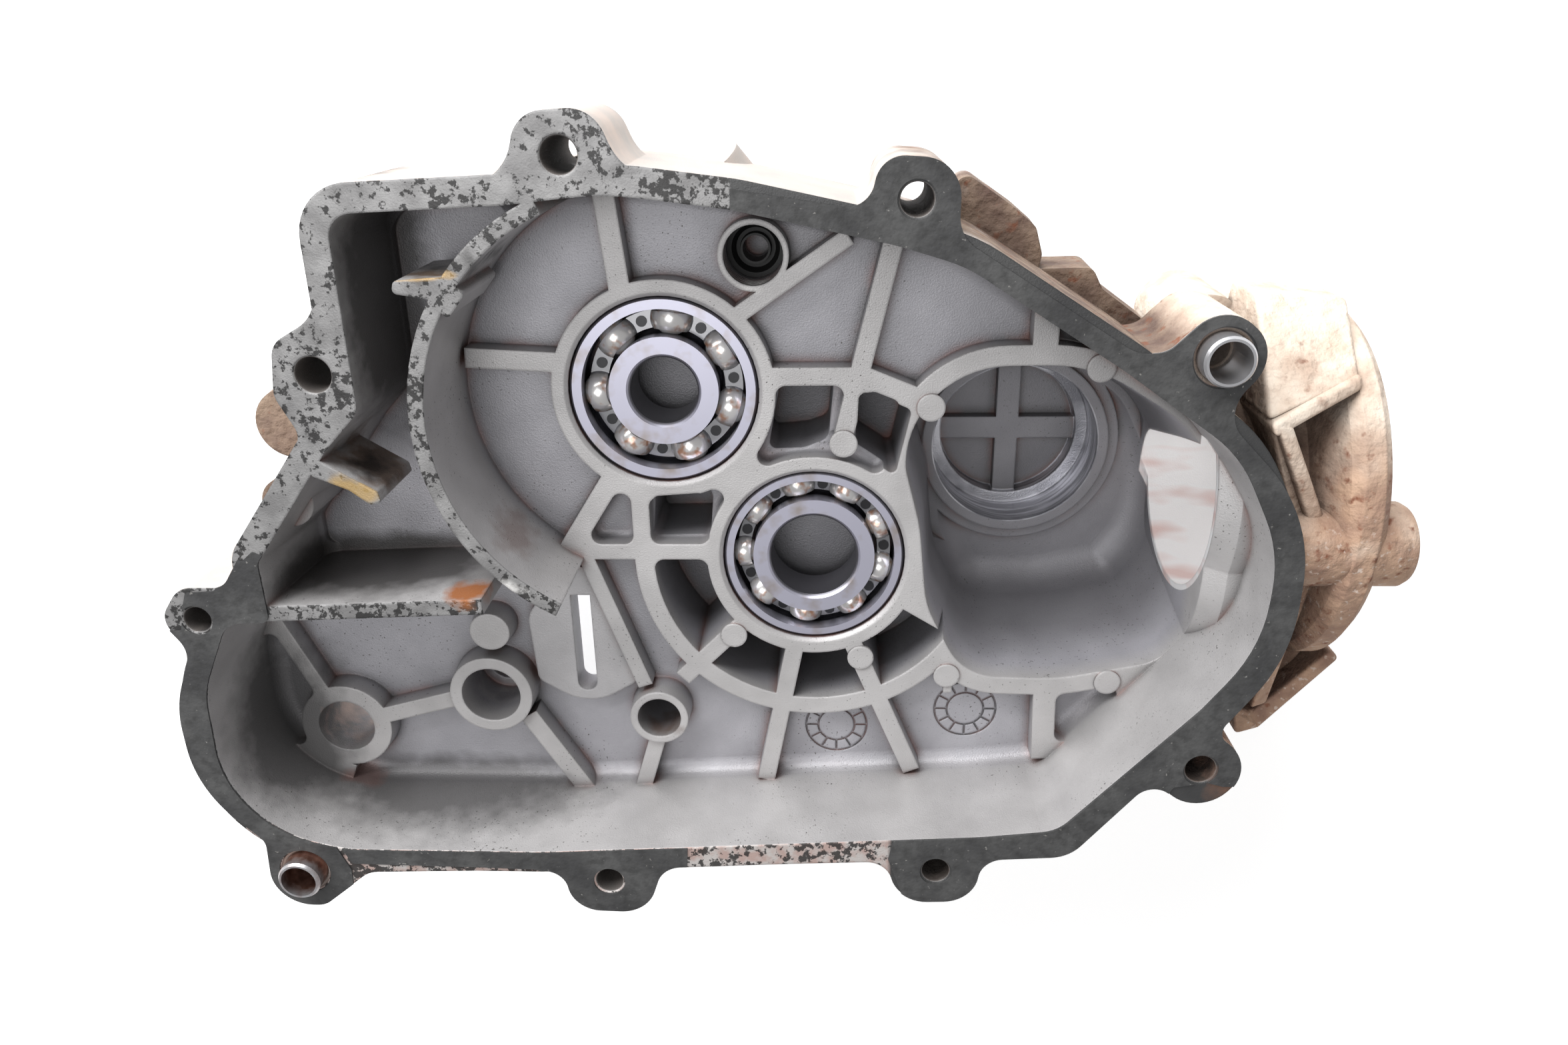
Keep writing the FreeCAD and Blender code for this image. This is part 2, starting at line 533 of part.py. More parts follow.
def floor_network():
    """Ribs, bosses and bands of the floor: a slab with every pocket between them cut out.

    A pocket is what the ribs leave of the floor, shrunk and grown again so that its corners
    come out round, with a small radius along its bottom edge.
    """
    floor = Part.Face(leaned(INNER, DRAFT * 0.5, 0.0))
    open_floor = floor.cut(rib_plans())
    pockets = []
    for piece in open_floor.Faces:
        if piece.Area < 12.0:
            continue
        try:
            shrunk = piece.makeOffset2D(-POCKET_CORNER)
            rounded = shrunk.makeOffset2D(POCKET_CORNER)
        except Exception:
            rounded = piece
        for face in rounded.Faces:
            pocket = face.extrude(V(0, 0, RIB_Z + 1.0 - FLOOR_Z))
            low = [e for e in pocket.Edges if max(abs(v.Z) for v in e.Vertexes) < 1e-4]
            for r in (POCKET_FILLET, POCKET_FILLET * 0.6):
                try:
                    soft = pocket.makeFillet(r, low)
                except Exception:
                    continue
                if soft.isValid():
                    pocket = soft
                    break
            else:
                print("pocket left with a sharp bottom edge, area", round(face.Area))
            pocket.translate(V(0, 0, FLOOR_Z))
            pockets.append(pocket)
    slab = Part.Face(leaned(INNER, -1.0, FLOOR_Z - 1.0)).extrude(V(0, 0, RIB_Z - FLOOR_Z + 1.0))
    return slab.cut(pockets)


def floor_extras():
    """What stands higher or lower than the rib tops."""
    z0 = FLOOR_Z - 1.0
    extras = []
    for x, y, outer, _, top, _ in RING_BOSSES.values():
        extras.append(cone(x, y, outer + 0.4, outer, z0, top))
    for x, y, r in BLIND_BOSSES:
        extras.append(cone(x, y, r + 0.6, r, z0, RIB_Z + 0.8))
    slot_x, _, slot_low, _ = SLOT
    pad = [(slot_x - 13.0, -16.0, 6.0), (slot_x - 3.0, -2.0, 3.0), (slot_x + 4.0, -4.0, 3.0),
           (slot_x + 13.0, slot_low + 0.5, 3.0), (slot_x, slot_low - 7.0, 12.0),
           (slot_x - 12.0, slot_low + 0.5, 3.0)]
    extras.append(prism(pad, z0, RIB_Z - 2.0))
    return extras


def high_walls():
    """Walls inside the case that reach the joint face, and the torn stubs on them."""
    walls = [sector(UPPER_X, UPPER_Y, ARC_IN, ARC_IN + ARC_WALL, ARC_WALL_FROM, ARC_WALL_TO,
                    LEFT_ROOM_Z - 1.0, FACE_Z)]
    walls.append(bar(*STRAIGHT_WALL, LEFT_ROOM_Z - 1.0, FACE_Z))
    upper_stub = [(-70.0, 69.2, 0.4), (-79.6, 68.6, 1.0), (-80.2, 66.2, 1.0), (-73.0, 65.0, 1.5),
                  (-70.0, 61.0, 1.0), (-66.0, 66.0, 1.0)]
    walls.append(prism(upper_stub, 8.0, FACE_Z))
    left_stub = [(-100.5, 32.6, 0.6), (-89.2, 25.6, 0.8), (-88.6, 23.2, 0.8), (-91.0, 22.8, 0.8),
                 (-95.0, 26.0, 2.0), (-103.0, 29.4, 1.0)]
    walls.append(prism(left_stub, 12.0, FACE_Z))
    walls.append(post(-114.0, 19.0, 5.6, LEFT_ROOM_Z - 1.0, 20.0))
    return walls


def dial_cuts():
    """Shallow rings and ticks of the two casting date dials, with no figures."""
    cuts = []
    for x, y in DIALS:
        z0 = FLOOR_Z - DIAL_CUT
        cuts.append(sector(x, y, DIAL_R - 0.5, DIAL_R, 0, 360, z0, FLOOR_Z + 0.5))
        cuts.append(sector(x, y, DIAL_R * 0.55, DIAL_R * 0.55 + 0.5, 0, 360, z0, FLOOR_Z + 0.5))
        for i in range(DIAL_TICKS):
            cuts.append(radial_bar(x, y, 360.0 / DIAL_TICKS * i, DIAL_R * 0.58, DIAL_R - 0.3, 0.5,
                                   z0, FLOOR_Z + 0.5))
    return cuts


def bolt_holes():
    cuts = []
    for name, (x, y, hole, _, _) in LUGS.items():
        if "dowel" in name:
            cuts.append(post(x, y, DOWEL_OD / 2 + DOWEL_GAP, FACE_Z - DOWEL_LENGTH + DOWEL_PROUD,
                             FACE_Z + 1.0))
            cuts.append(post(x, y, DOWEL_BOLT_R, LUG_Z - 1.0, FACE_Z))
            cuts.append(cone(x, y, DOWEL_OD / 2, DOWEL_OD / 2 + 1.0, FACE_Z - 1.0, FACE_Z))
        else:
            cuts.append(post(x, y, hole, LUG_Z - 1.0, FACE_Z + 1.0))
            cuts.append(cone(x, y, hole, hole + 0.4, FACE_Z - 0.4, FACE_Z))
    return cuts


def side_tabs():
    """Tabs and a pipe stub on the outer walls."""
    slanted = [(24.0, 66.0), (30.8, 85.0), (41.9, 77.4), (46.8, 73.3), (48.4, 67.7), (46.0, 54.0)]
    second = [(42.0, 56.0), (47.9, 64.6), (59.3, 64.8), (61.6, 60.3), (75.0, 50.6), (64.0, 42.0)]
    along = V(-10.0, 13.0, 5.0)
    stub = Part.makeCylinder(4.2, along.Length, V(-9.0, 75.0, -6.0), along)
    return [plate(slanted, -8.0, 1.0, 0.4), plate(second, -12.0, 1.0, 0.4), stub,
            cone(-119.5, 31.0, 8.8, 8.2, BACK_Z - 4.0, 1.0)]


def make_housing():
    body = outer_skin().fuse(side_tabs())
    body = body.fuse(nose_skin() + webs())
    cavity = tool(INNER, FACE_Z, DRAFT, FLOOR_Z, FLOOR_FILLET)
    body = body.cut(cavity)
    room = tool(LEFT_ROOM, FLOOR_Z + 4.0, 0.5, LEFT_ROOM_Z, 2.0)
    body = body.cut(room)
    body = body.fuse(floor_network())
    body = body.fuse(floor_extras())
    body = body.fuse(high_walls())
    chamber = Part.makeLoft([leaned(CHAMBER, 0, RIB_Z + 0.5),
                             leaned(CHAMBER, CHAMBER_DRAFT, CHAMBER_Z)], True, True)
    low = [e for e in chamber.Edges if max(abs(v.Z - CHAMBER_Z) for v in e.Vertexes) < 1e-4]
    body = body.cut(chamber.makeFillet(CHAMBER_FILLET, low))
    body = body.fuse(drum_inside())
    body = body.fuse(cone(BORE_X, BORE_Y, COLLAR_R + 0.8, COLLAR_R, CHAMBER_Z - 1.0, COLLAR_Z))
    lower_boss = cone(LOWER_X, LOWER_Y, BOSS_R + 1.0, BOSS_R - 0.4, DEEP_Z - 1.0, RIB_Z)
    body = body.fuse(lower_boss)
    body = body.cut(pocket_cuts() + seat_cuts())
    body = body.fuse(seat_cross() + [lower_boss])
    body = body.cut(bearing_seats() + bolt_holes() + dial_cuts())
    body = body.cut(along_x(NOSE_BORE_R, NOSE_X0 - 2.0, NOSE_LIP_X))
    body = body.cut(along_x(NOSE_BORE_R + 1.0, NOSE_LIP_X, SPOUT_X + 1.0))
    for x, y, _, bore, top, depth in RING_BOSSES.values():
        body = body.cut(post(x, y, bore, depth, top + 1.0))
    step_x, step_y = RING_BOSSES["middle"][:2]
    recess_x, recess_y, recess_low, recess_high = WALL_RECESS
    body = body.cut([post(step_x, step_y, MIDDLE_STEP_R, MIDDLE_STEP_Z, 0.0),
                     cone(recess_x, recess_y, recess_low, recess_high, -24.0, -3.0)])
    body = body.cut([Part.makeTorus(BREATHER_R, 0.35, V(BREATHER_X, BREATHER_Y, z))
                     for z in BREATHER_THREADS])
    body = body.cut(post(BREATHER_X, BREATHER_Y, BREATHER_R, BREATHER_FLOOR, RIB_Z + 1.0))
    body = body.cut(post(BREATHER_X, BREATHER_Y, BREATHER_RING_IN, BREATHER_END, 0.0))
    slot_x, slot_high, slot_low, slot_w = SLOT
    slot = bar(slot_x, slot_low, slot_x, slot_high, slot_w, BACK_Z - 30.0, RIB_Z)
    body = body.cut([slot, post(slot_x, slot_low, slot_w / 2, BACK_Z - 30.0, RIB_Z)])
    marks = [post(x, y, EJECTOR_R, RIB_Z - 0.5, RIB_Z + EJECTOR_UP) for x, y in EJECTOR_MARKS]
    return body.fuse(marks)


def turned(x, y, profile):
    """Solid turned about a vertical axis from (radius, z) points."""
    points = [V(x + r, y, z) for r, z in profile]
    face = Part.Face(Part.makePolygon(points + [points[0]]))
    return face.revolve(V(x, y, 0), UP, 360)


def ball_track(x, y, z, pitch, ball):
    """Ring of round section that the balls run in."""
    return Part.makeTorus(pitch, ball / 2 + BALL_GAP, V(x, y, z))


def make_bearing(x, y, bore, width, ball, count, turn, rim_out, rim_in):
    """Deep-groove bearing: two rings, the balls, a two-piece pressed cage and its rivets."""
    z1 = FACE_OF_BEARING
    z0 = z1 - width
    middle = (z0 + z1) / 2
    pitch = (rim_out + rim_in) / 2
    edge = BEARING_EDGE
    outer_r, inner_r = BEARING_OD / 2, bore / 2
    outer = turned(x, y, [
        (rim_out, z0), (outer_r - edge, z0), (outer_r, z0 + edge), (outer_r, z1 - edge),
        (outer_r - edge, z1), (rim_out, z1)])
    inner = turned(x, y, [
        (inner_r + edge, z0), (rim_in, z0), (rim_in, z1), (inner_r + edge, z1),
        (inner_r, z1 - edge), (inner_r, z0 + edge)])
    track = ball_track(x, y, middle, pitch, ball)
    outer = outer.cut(track)
    inner = inner.cut(track)
    balls, holes, lands = [], [], []
    for i in range(count):
        bx, by = ray(x, y, 360.0 / count * i + turn, pitch)
        balls.append(Part.makeSphere(ball / 2, V(bx, by, middle)))
        holes.append(Part.makeSphere(ball / 2 + CAGE_GAP, V(bx, by, middle)))
        lands.append(ray(x, y, 360.0 / count * (i + 0.5) + turn, pitch))
    ribbon = CAGE_FILL * (rim_out - rim_in)
    r0, r1 = pitch - ribbon / 2, pitch + ribbon / 2
    halves = []
    for sign in (1, -1):
        pockets = [Part.makeSphere(ball / 2 + CAGE_GAP + CAGE_SHEET, b.CenterOfMass)
                   for b in balls]
        band = sector(x, y, r0, r1, 0, 360, 0, CAGE_SHEET)
        band.translate(V(0, 0, middle if sign > 0 else middle - CAGE_SHEET))
        half = band.fuse(pockets).cut(holes)
        keep = sector(x, y, r0, r1, 0, 360, 0, ball)
        keep.translate(V(0, 0, middle if sign > 0 else middle - ball))
        halves.append(half.common(keep))
    rivets = []
    for lx, ly in lands:
        shank = post(lx, ly, RIVET_R, middle - CAGE_SHEET, middle + CAGE_SHEET)
        heads = [post(lx, ly, RIVET_HEAD_R, middle + CAGE_SHEET, middle + CAGE_SHEET + RIVET_HEAD),
                 post(lx, ly, RIVET_HEAD_R, middle - CAGE_SHEET - RIVET_HEAD, middle - CAGE_SHEET)]
        rivets.append(shank.fuse(heads))
        halves = [half.cut(post(lx, ly, RIVET_R, middle - 2.0, middle + 2.0)) for half in halves]
    return {
        "outer_ring": outer, "inner_ring": inner, "balls": Part.makeCompound(balls),
        "cage_front": halves[0], "cage_back": halves[1],
        "cage_rivets": Part.makeCompound(rivets),
    }


def make_sleeve(name):
    x, y = LUGS[name][:2]
    r = DOWEL_OD / 2
    top = FACE_Z + DOWEL_PROUD
    low = top - DOWEL_LENGTH
    return turned(x, y, [
        (r - DOWEL_WALL, low), (r - 0.4, low), (r, low + 0.6), (r, top - 0.6), (r - 0.4, top),
        (r - DOWEL_WALL, top)])


def make_breather_ring():
    r = BREATHER_R - BREATHER_GAP
    z0 = BREATHER_FLOOR
    z1 = z0 + BREATHER_RING_H
    step = BREATHER_RING_STEP
    return turned(BREATHER_X, BREATHER_Y, [
        (BREATHER_RING_IN, z0), (r, z0), (r, z1), (r - 1.0, z1), (step + 0.8, z1 - 1.4),
        (step, z1 - 1.4), (step - 0.2, z1 + 0.6), (BREATHER_RING_IN, z1 + 0.6)])


def make_gaskets():
    """Torn paper gasket: the flange's own outline, cut off along the tears."""
    top = FACE_Z + GASKET
    sheet = prism(OUTLINE, FACE_Z, top)
    inner = Part.Face(leaned(INNER, 0, FACE_Z - 1.0)).extrude(V(0, 0, 3.0))
    sheet = sheet.cut(inner)
    holes = []
    for name, (x, y, hole, _, _) in LUGS.items():
        clear = DOWEL_OD / 2 + 1.1 if "dowel" in name else hole + 0.6
        holes.append(post(x, y, clear, FACE_Z - 1.0, top + 1.0))
    sheet = sheet.cut(holes)
    z0, z1 = FACE_Z - 1.0, top + 1.0
    main = [(-14.7, 90.0, 0), (130.0, 90.0, 0), (130.0, -44.0, 0), (91.0, -44.6, 0.8),
            (87.4, -43.6, 0.6), (80.2, -44.9, 0.6), (78.6, -47.8, 0.4), (78.0, -60.0, 0),
            (60.0, -80.0, 0), (22.0, -80.0, 0), (17.2, -65.6, 0.8), (18.6, -59.0, 0),
            (30.0, -30.0, 0), (70.0, 20.0, 0), (30.0, 60.0, 0), (-14.7, 70.0, 0)]
    bottom = [(-113.4, -60.0, 0), (-29.2, -60.0, 0), (-29.6, -66.0, 0.6), (-30.4, -76.0, 0),
              (-30.4, -90.0, 0), (-66.0, -90.0, 0), (-64.0, -69.7, 2.0), (-80.0, -69.2, 9.0),
              (-109.4, -68.6, 1.0)]
    left = [(-114.0, -60.6, 0), (-110.0, -70.4, 0.5), (-111.0, -90.0, 0), (-150.0, -90.0, 0),
            (-150.0, -6.0, 0), (-137.2, -6.6, 0.8), (-136.0, -1.6, 0.8), (-134.4, 2.6, 0.8),
            (-128.0, 3.0, 1.0), (-124.6, 8.6, 1.0), (-123.0, 11.6, 0.4), (-120.6, 10.0, 0.4),
            (-118.0, 12.2, 0.4), (-115.4, 11.0, 0.4), (-112.0, 0.0, 0), (-112.0, -30.0, 0)]
    pieces = {}
    for name, region in (("gasket_main", main), ("gasket_bottom", bottom), ("gasket_left", left)):
        piece = sheet.common(prism(region, z0, z1))
        pieces[name] = max(piece.Solids, key=lambda solid: solid.Volume)
    return pieces


def main():
    nodes = {"housing": make_housing()}
    sizes = {
        "upper": (UPPER_X, UPPER_Y, UPPER_BORE, UPPER_WIDTH, UPPER_BALL, UPPER_COUNT, UPPER_TURN,
                  UPPER_SHOULDER_OUT, UPPER_SHOULDER_IN),
        "lower": (LOWER_X, LOWER_Y, LOWER_BORE, LOWER_WIDTH, LOWER_BALL, LOWER_COUNT, LOWER_TURN,
                  LOWER_SHOULDER_OUT, LOWER_SHOULDER_IN),
    }
    for place, values in sizes.items():
        for piece, shape in make_bearing(*values).items():
            nodes[place + "_" + piece] = shape
    nodes["dowel_sleeve_right"] = make_sleeve("right_dowel")
    nodes["dowel_sleeve_left"] = make_sleeve("left_dowel")
    nodes["breather_ring"] = make_breather_ring()
    nodes.update(make_gaskets())
    os.makedirs("parts", exist_ok=True)
    for name, shape in nodes.items():
        shape.exportStep("parts/" + name + ".step")
        box = shape.BoundBox
        print("%-20s solids %2d valid %s volume %10.1f  x %.1f..%.1f y %.1f..%.1f z %.1f..%.1f" % (
            name, len(shape.Solids), shape.isValid(), shape.Volume, box.XMin, box.XMax,
            box.YMin, box.YMax, box.ZMin, box.ZMax))


main()
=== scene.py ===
# %% [markdown]
# # A gearbox housing, dressed from its CAD frame
# The part is one half of a die-cast gearbox case, lying on its back with the joint face up.
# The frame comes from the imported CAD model; this script adds the finishes, the light and the
# camera. Everything is in the frame's own axes; lengths are in metres unless a name ends in
# _MM, and the finishes work in millimetres.

# %% Load the frame
import json

import bpy
import numpy as np
from mathutils import Matrix, Vector

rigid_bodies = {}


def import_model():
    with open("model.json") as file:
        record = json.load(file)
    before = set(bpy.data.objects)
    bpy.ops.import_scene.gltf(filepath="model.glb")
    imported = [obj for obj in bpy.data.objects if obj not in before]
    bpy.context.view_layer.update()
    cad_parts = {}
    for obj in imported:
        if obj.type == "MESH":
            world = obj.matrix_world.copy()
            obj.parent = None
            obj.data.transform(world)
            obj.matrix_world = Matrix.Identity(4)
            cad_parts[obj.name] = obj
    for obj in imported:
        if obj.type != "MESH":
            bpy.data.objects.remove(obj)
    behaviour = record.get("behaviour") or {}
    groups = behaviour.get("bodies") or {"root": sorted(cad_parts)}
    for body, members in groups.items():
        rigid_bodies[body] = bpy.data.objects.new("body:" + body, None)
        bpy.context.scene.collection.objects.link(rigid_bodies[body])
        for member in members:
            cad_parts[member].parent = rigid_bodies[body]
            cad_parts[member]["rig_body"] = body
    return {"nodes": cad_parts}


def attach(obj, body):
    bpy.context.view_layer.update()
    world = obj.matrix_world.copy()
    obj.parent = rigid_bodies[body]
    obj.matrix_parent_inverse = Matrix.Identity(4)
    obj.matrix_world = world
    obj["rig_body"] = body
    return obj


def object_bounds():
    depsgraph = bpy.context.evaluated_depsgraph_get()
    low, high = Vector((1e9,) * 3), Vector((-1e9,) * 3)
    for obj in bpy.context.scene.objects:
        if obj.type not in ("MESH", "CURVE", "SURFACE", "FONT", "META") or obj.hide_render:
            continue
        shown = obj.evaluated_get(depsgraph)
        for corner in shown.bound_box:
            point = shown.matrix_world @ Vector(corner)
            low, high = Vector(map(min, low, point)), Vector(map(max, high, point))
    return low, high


MM = 0.001
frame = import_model()
NODES = frame["nodes"]
cad_box = [list(corner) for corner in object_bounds()]
print("frame:", len(NODES), "nodes, box", np.round(np.array(cad_box) / MM, 1).tolist(), "mm")

# %% [markdown]
# ## The camera
# The photograph was solved for its camera from the two bearings, whose outside diameter is a
# standard size. The rows below are that camera's right, down and forward directions.

# %% Camera
IMAGE_WIDTH, IMAGE_HEIGHT = 2352, 1568
FOCAL_PX = 1700.0
SENSOR_MM = 36.0
CAMERA_MM = (3.34, 107.17, 245.24)
RIGHT = (0.9992380373, -0.0148756792, -0.0360840533)
DOWN = (0.0, -0.9245198019, 0.3811340130)
FORWARD = (-0.0390300491, -0.3808436031, -0.9238153523)

camera = bpy.data.objects.new("camera", bpy.data.cameras.new("camera"))
bpy.context.scene.collection.objects.link(camera)
camera.data.sensor_width = SENSOR_MM
camera.data.lens = FOCAL_PX * SENSOR_MM / IMAGE_WIDTH
camera.data.clip_start = 0.01
camera.data.clip_end = 20.0
turn = Matrix((RIGHT, tuple(-v for v in DOWN), tuple(-v for v in FORWARD))).transposed()
camera.matrix_world = Matrix.Translation(Vector(CAMERA_MM) * MM) @ turn.to_4x4()
bpy.context.scene.camera = camera
print("camera: lens", round(camera.data.lens, 2), "mm at", CAMERA_MM, "mm")

# %% [markdown]
# ## Small tools for finishes
# Every finish is a small network. `add` makes one node, sets it and links it, so that a
# network reads from top to bottom. The rest are built on it: plain arithmetic, a ramp between
# two values, a blend of two colours, a noise whose lumps have a size in millimetres, a blot at
# a place and the distance from an axis.

# %% Tools for finishes
RAGGED, SOFT = 0.55, 0.22      # how far the edge of a stain and of a shade wanders, in half sizes


def hex_colour(code):
    """sRGB hex to linear: c/12.92 below 0.04045, else ((c + 0.055) / 1.055) ** 2.4."""
    values = [int(code[i:i + 2], 16) / 255.0 for i in (0, 2, 4)]
    linear = [v / 12.92 if v <= 0.04045 else ((v + 0.055) / 1.055) ** 2.4 for v in values]
    return (*linear, 1.0)


def add(tree, kind, settings=None, inputs=None):
    node = tree.nodes.new("ShaderNode" + kind)
    for name, value in (settings or {}).items():
        setattr(node, name, value)
    for name, value in (inputs or {}).items():
        if isinstance(value, bpy.types.NodeSocket):
            tree.links.new(value, node.inputs[name])
        else:
            node.inputs[name].default_value = value
    return node


def new_finish(name, settings):
    """A material with its shader's fixed sockets set; returns it, its tree and its shader."""
    material = bpy.data.materials.new(name)
    material.use_nodes = True
    tree = material.node_tree
    shader = tree.nodes["Principled BSDF"]
    for socket, value in settings.items():
        shader.inputs[socket].default_value = value
    return material, tree, shader


def sum_of(tree, operation, *values):
    """One arithmetic node; the operation is MULTIPLY, ADD, MAXIMUM and so on."""
    return add(tree, "Math", {"operation": operation}, dict(enumerate(values))).outputs[0]


def ramp(tree, value, zero_at, one_at):
    """0 where the value is zero_at, 1 where it is one_at, straight between and flat outside."""
    return add(tree, "MapRange", None, {"Value": value, "From Min": zero_at,
                                        "From Max": one_at}).outputs["Result"]


def blend(tree, amount, first, second):
    """The first colour where the amount is 0, the second where it is 1."""
    colours = [hex_colour(c) if isinstance(c, str) else c for c in (first, second)]
    mix = add(tree, "Mix", {"data_type": "RGBA"}, {0: amount, 6: colours[0], 7: colours[1]})
    return mix.outputs[2]


def places(tree):
    """The point in millimetres, as a vector and as x, y and z."""
    metres = add(tree, "TexCoord").outputs["Object"]
    scaled = add(tree, "VectorMath", {"operation": "SCALE"}, {0: metres, "Scale": 1.0 / MM})
    parts = add(tree, "SeparateXYZ", None, {0: scaled.outputs[0]})
    return scaled.outputs[0], [parts.outputs[i] for i in range(3)]


def grain(tree, point, lump, low, high, detail=3.0, seed=0.0):
    """Noise with lumps this many millimetres wide; low goes to 0 and high to 1."""
    moved = add(tree, "VectorMath", {"operation": "ADD"}, {0: point, 1: (seed, -seed, seed)})
    noise = add(tree, "TexNoise", None, {"Vector": moved.outputs[0], "Scale": 1.0 / lump,
                                         "Detail": detail})
    return ramp(tree, noise.outputs["Fac"], low, high)


def blot(tree, point, centre, radii, seed, ragged=RAGGED):
    """1 in the middle of a blot; radii are its half sizes along x, y and z."""
    offset = add(tree, "VectorMath", {"operation": "SUBTRACT"}, {0: point, 1: centre})
    scaled = add(tree, "VectorMath", {"operation": "DIVIDE"}, {0: offset.outputs[0], 1: radii})
    away = add(tree, "VectorMath", {"operation": "LENGTH"}, {0: scaled.outputs[0]})
    edge = sum_of(tree, "MULTIPLY", grain(tree, point, 4.5, 0.3, 0.7, 3.0, seed), ragged)
    return ramp(tree, sum_of(tree, "ADD", away.outputs["Value"], edge), 1.3, 0.75)


def from_axis(tree, point, on_axis, across):
    """Distance from an axis through a place; across has a 0 for the axis's own direction."""
    flat = add(tree, "VectorMath", {"operation": "MULTIPLY"}, {0: point, 1: across})
    centre = tuple(a * b for a, b in zip(on_axis, across))
    return add(tree, "VectorMath", {"operation": "DISTANCE"},
               {0: flat.outputs[0], 1: centre}).outputs["Value"]


# %% [markdown]
# ## The case's own places
# The inside of the case is told from the outside by straight edges round the flange, so that
# mud lies only on the outside. The edges run between the points below, anticlockwise.

# %% Inside and outside of the case
FLANGE_MIDDLE = [
    (57.0, -61.0), (87.0, -27.0), (98.0, -11.0), (98.5, 12.0), (88.0, 35.0), (62.0, 53.0),
    (31.0, 73.5), (17.0, 78.0), (-14.0, 84.5), (-38.0, 87.5), (-94.0, 84.5), (-131.0, -1.0),
    (-139.0, -22.0), (-140.0, -60.0), (-112.0, -68.0), (-64.0, -68.3), (-30.0, -66.5),
    (38.0, -62.7),
]
LEFT_CORNER = [(-94.0, 46.0), (-121.0, 11.0)]      # the flange steps in here
LEFT_CORNER_X = -94.0


def edge_distance(tree, point, start, end):
    """Millimetres to the left of the edge that runs from start to end, seen from above."""
    along = Vector(end) - Vector(start)
    along.normalize()
    inward = (-along.y, along.x, 0.0)
    dot = add(tree, "VectorMath", {"operation": "DOT_PRODUCT"}, {0: point, 1: inward})
    return sum_of(tree, "SUBTRACT", dot.outputs["Value"],
                  inward[0] * start[0] + inward[1] * start[1])


def inside_distance(tree, point, x):
    """Millimetres inside the flange's middle line; below 0 outside it."""
    distances = [edge_distance(tree, point, FLANGE_MIDDLE[i - 1], FLANGE_MIDDLE[i])
                 for i in range(len(FLANGE_MIDDLE))]
    corner = sum_of(tree, "MAXIMUM", edge_distance(tree, point, *LEFT_CORNER),
                    sum_of(tree, "SUBTRACT", x, LEFT_CORNER_X))
    least = distances[0]
    for other in distances[1:] + [corner]:
        least = sum_of(tree, "MINIMUM", least, other)
    return least


# %% [markdown]
# ## Where the casting is stained and shaded
# Oil, soot, rust and rubbed edges sit at places of their own, and so does painted shade. They
# could be painted on an image, but the case has no unwrapped surface; a list of places with
# sizes in millimetres is short and stays put from every side. Shades are painted shade, wide and
# soft; stains are small and ragged, and two of them are painted shade in the nose's pockets.

# %% Shades and stains
# Place, half sizes, colour, strength
# Painted shade: soft dark blots where walls and floors fall in shade
PAINTED_SHADES = [
    ((-95.0, -67.0, 2.0), (46.0, 9.0, 24.0), "575656", 0.8),     # foot of the bottom wall
    ((-133.0, -50.0, 4.0), (17.0, 32.0, 23.0), "555454", 0.85),  # round end of the case
    ((-120.0, -2.0, 12.0), (9.0, 9.0, 20.0), "454342", 0.8),     # end of the straight wall
    ((-100.0, 0.5, 10.0), (30.0, 4.5, 18.5), "4b4948", 0.9),     # painted shadow on its side
    ((-90.0, 62.0, 10.0), (9.0, 34.0, 22.0), "3f3d3c", 0.85),    # painted shade on the wall of the upper room
]
# Stains, and painted shade in the nose's two pockets
STAINS_AND_POCKET_SHADE = [
    ((-71.0, 73.0, 20.0), (11.0, 6.0, 16.0), "15130f", 0.9),     # soot over the upper stub
    ((103.5, 27.0, 4.0), (8.0, 13.0, 14.0), "45332a", 0.9),      # painted shade in the nose's upper pocket
    ((108.0, -27.0, -6.0), (6.5, 10.0, 6.0), "3a2c26", 0.9),     # painted shade in its lower one
    ((-93.0, 28.5, 19.0), (12.0, 8.0, 12.0), "6b584b", 0.9),     # brown side of the left stub
    ((-91.0, 29.5, 22.0), (7.0, 6.0, 8.0), "241f1c", 0.85),      # black peeling on it
    ((-94.0, 26.0, 31.2), (8.0, 3.6, 0.9), "b99a62", 0.75),      # its worn yellow top
    ((-74.5, 71.0, 25.0), (9.0, 5.0, 6.5), "66523f", 0.85),      # brown side of the upper stub
    ((-75.0, 69.6, 31.0), (8.0, 1.3, 1.2), "c39f62", 0.8),       # its worn edge
    ((-74.0, 2.2, 27.0), (6.5, 5.0, 7.0), "ad6934", 0.95),       # rust lump by the arc wall
    ((-67.0, 8.0, 16.0), (5.0, 10.0, 12.0), "8a7670", 0.6),      # brown film on the arc wall
    ((-36.1, -45.5, 4.0), (6.0, 4.0, 7.0), "6b5348", 0.7),       # rust in the small boss
    ((-65.8, 3.2, 31.0), (5.0, 2.6, 1.5), "e4e2e0", 0.9),        # rubbed bright corner
    ((93.0, -44.5, 26.0), (6.0, 6.0, 12.0), "7d5f50", 0.8),      # brown side of the right lug
    ((-116.0, -62.0, 5.0), (8.0, 5.0, 5.0), "7b5f59", 0.6),      # red film in that corner
    ((-116.8, -46.0, -12.0), (9.0, 9.0, 22.0), "b39c90", 0.85),  # brown bore of the left boss
    ((-78.8, -35.9, -3.0), (8.0, 8.0, 8.0), "bdbaba", 0.6),      # clean bore of the middle boss
    ((-12.3, 62.0, 4.0), (5.0, 2.0, 5.0), "d8d6d4", 0.8),        # bright threads of the breather
]
print("shades and stains:", len(PAINTED_SHADES) + len(STAINS_AND_POCKET_SHADE))

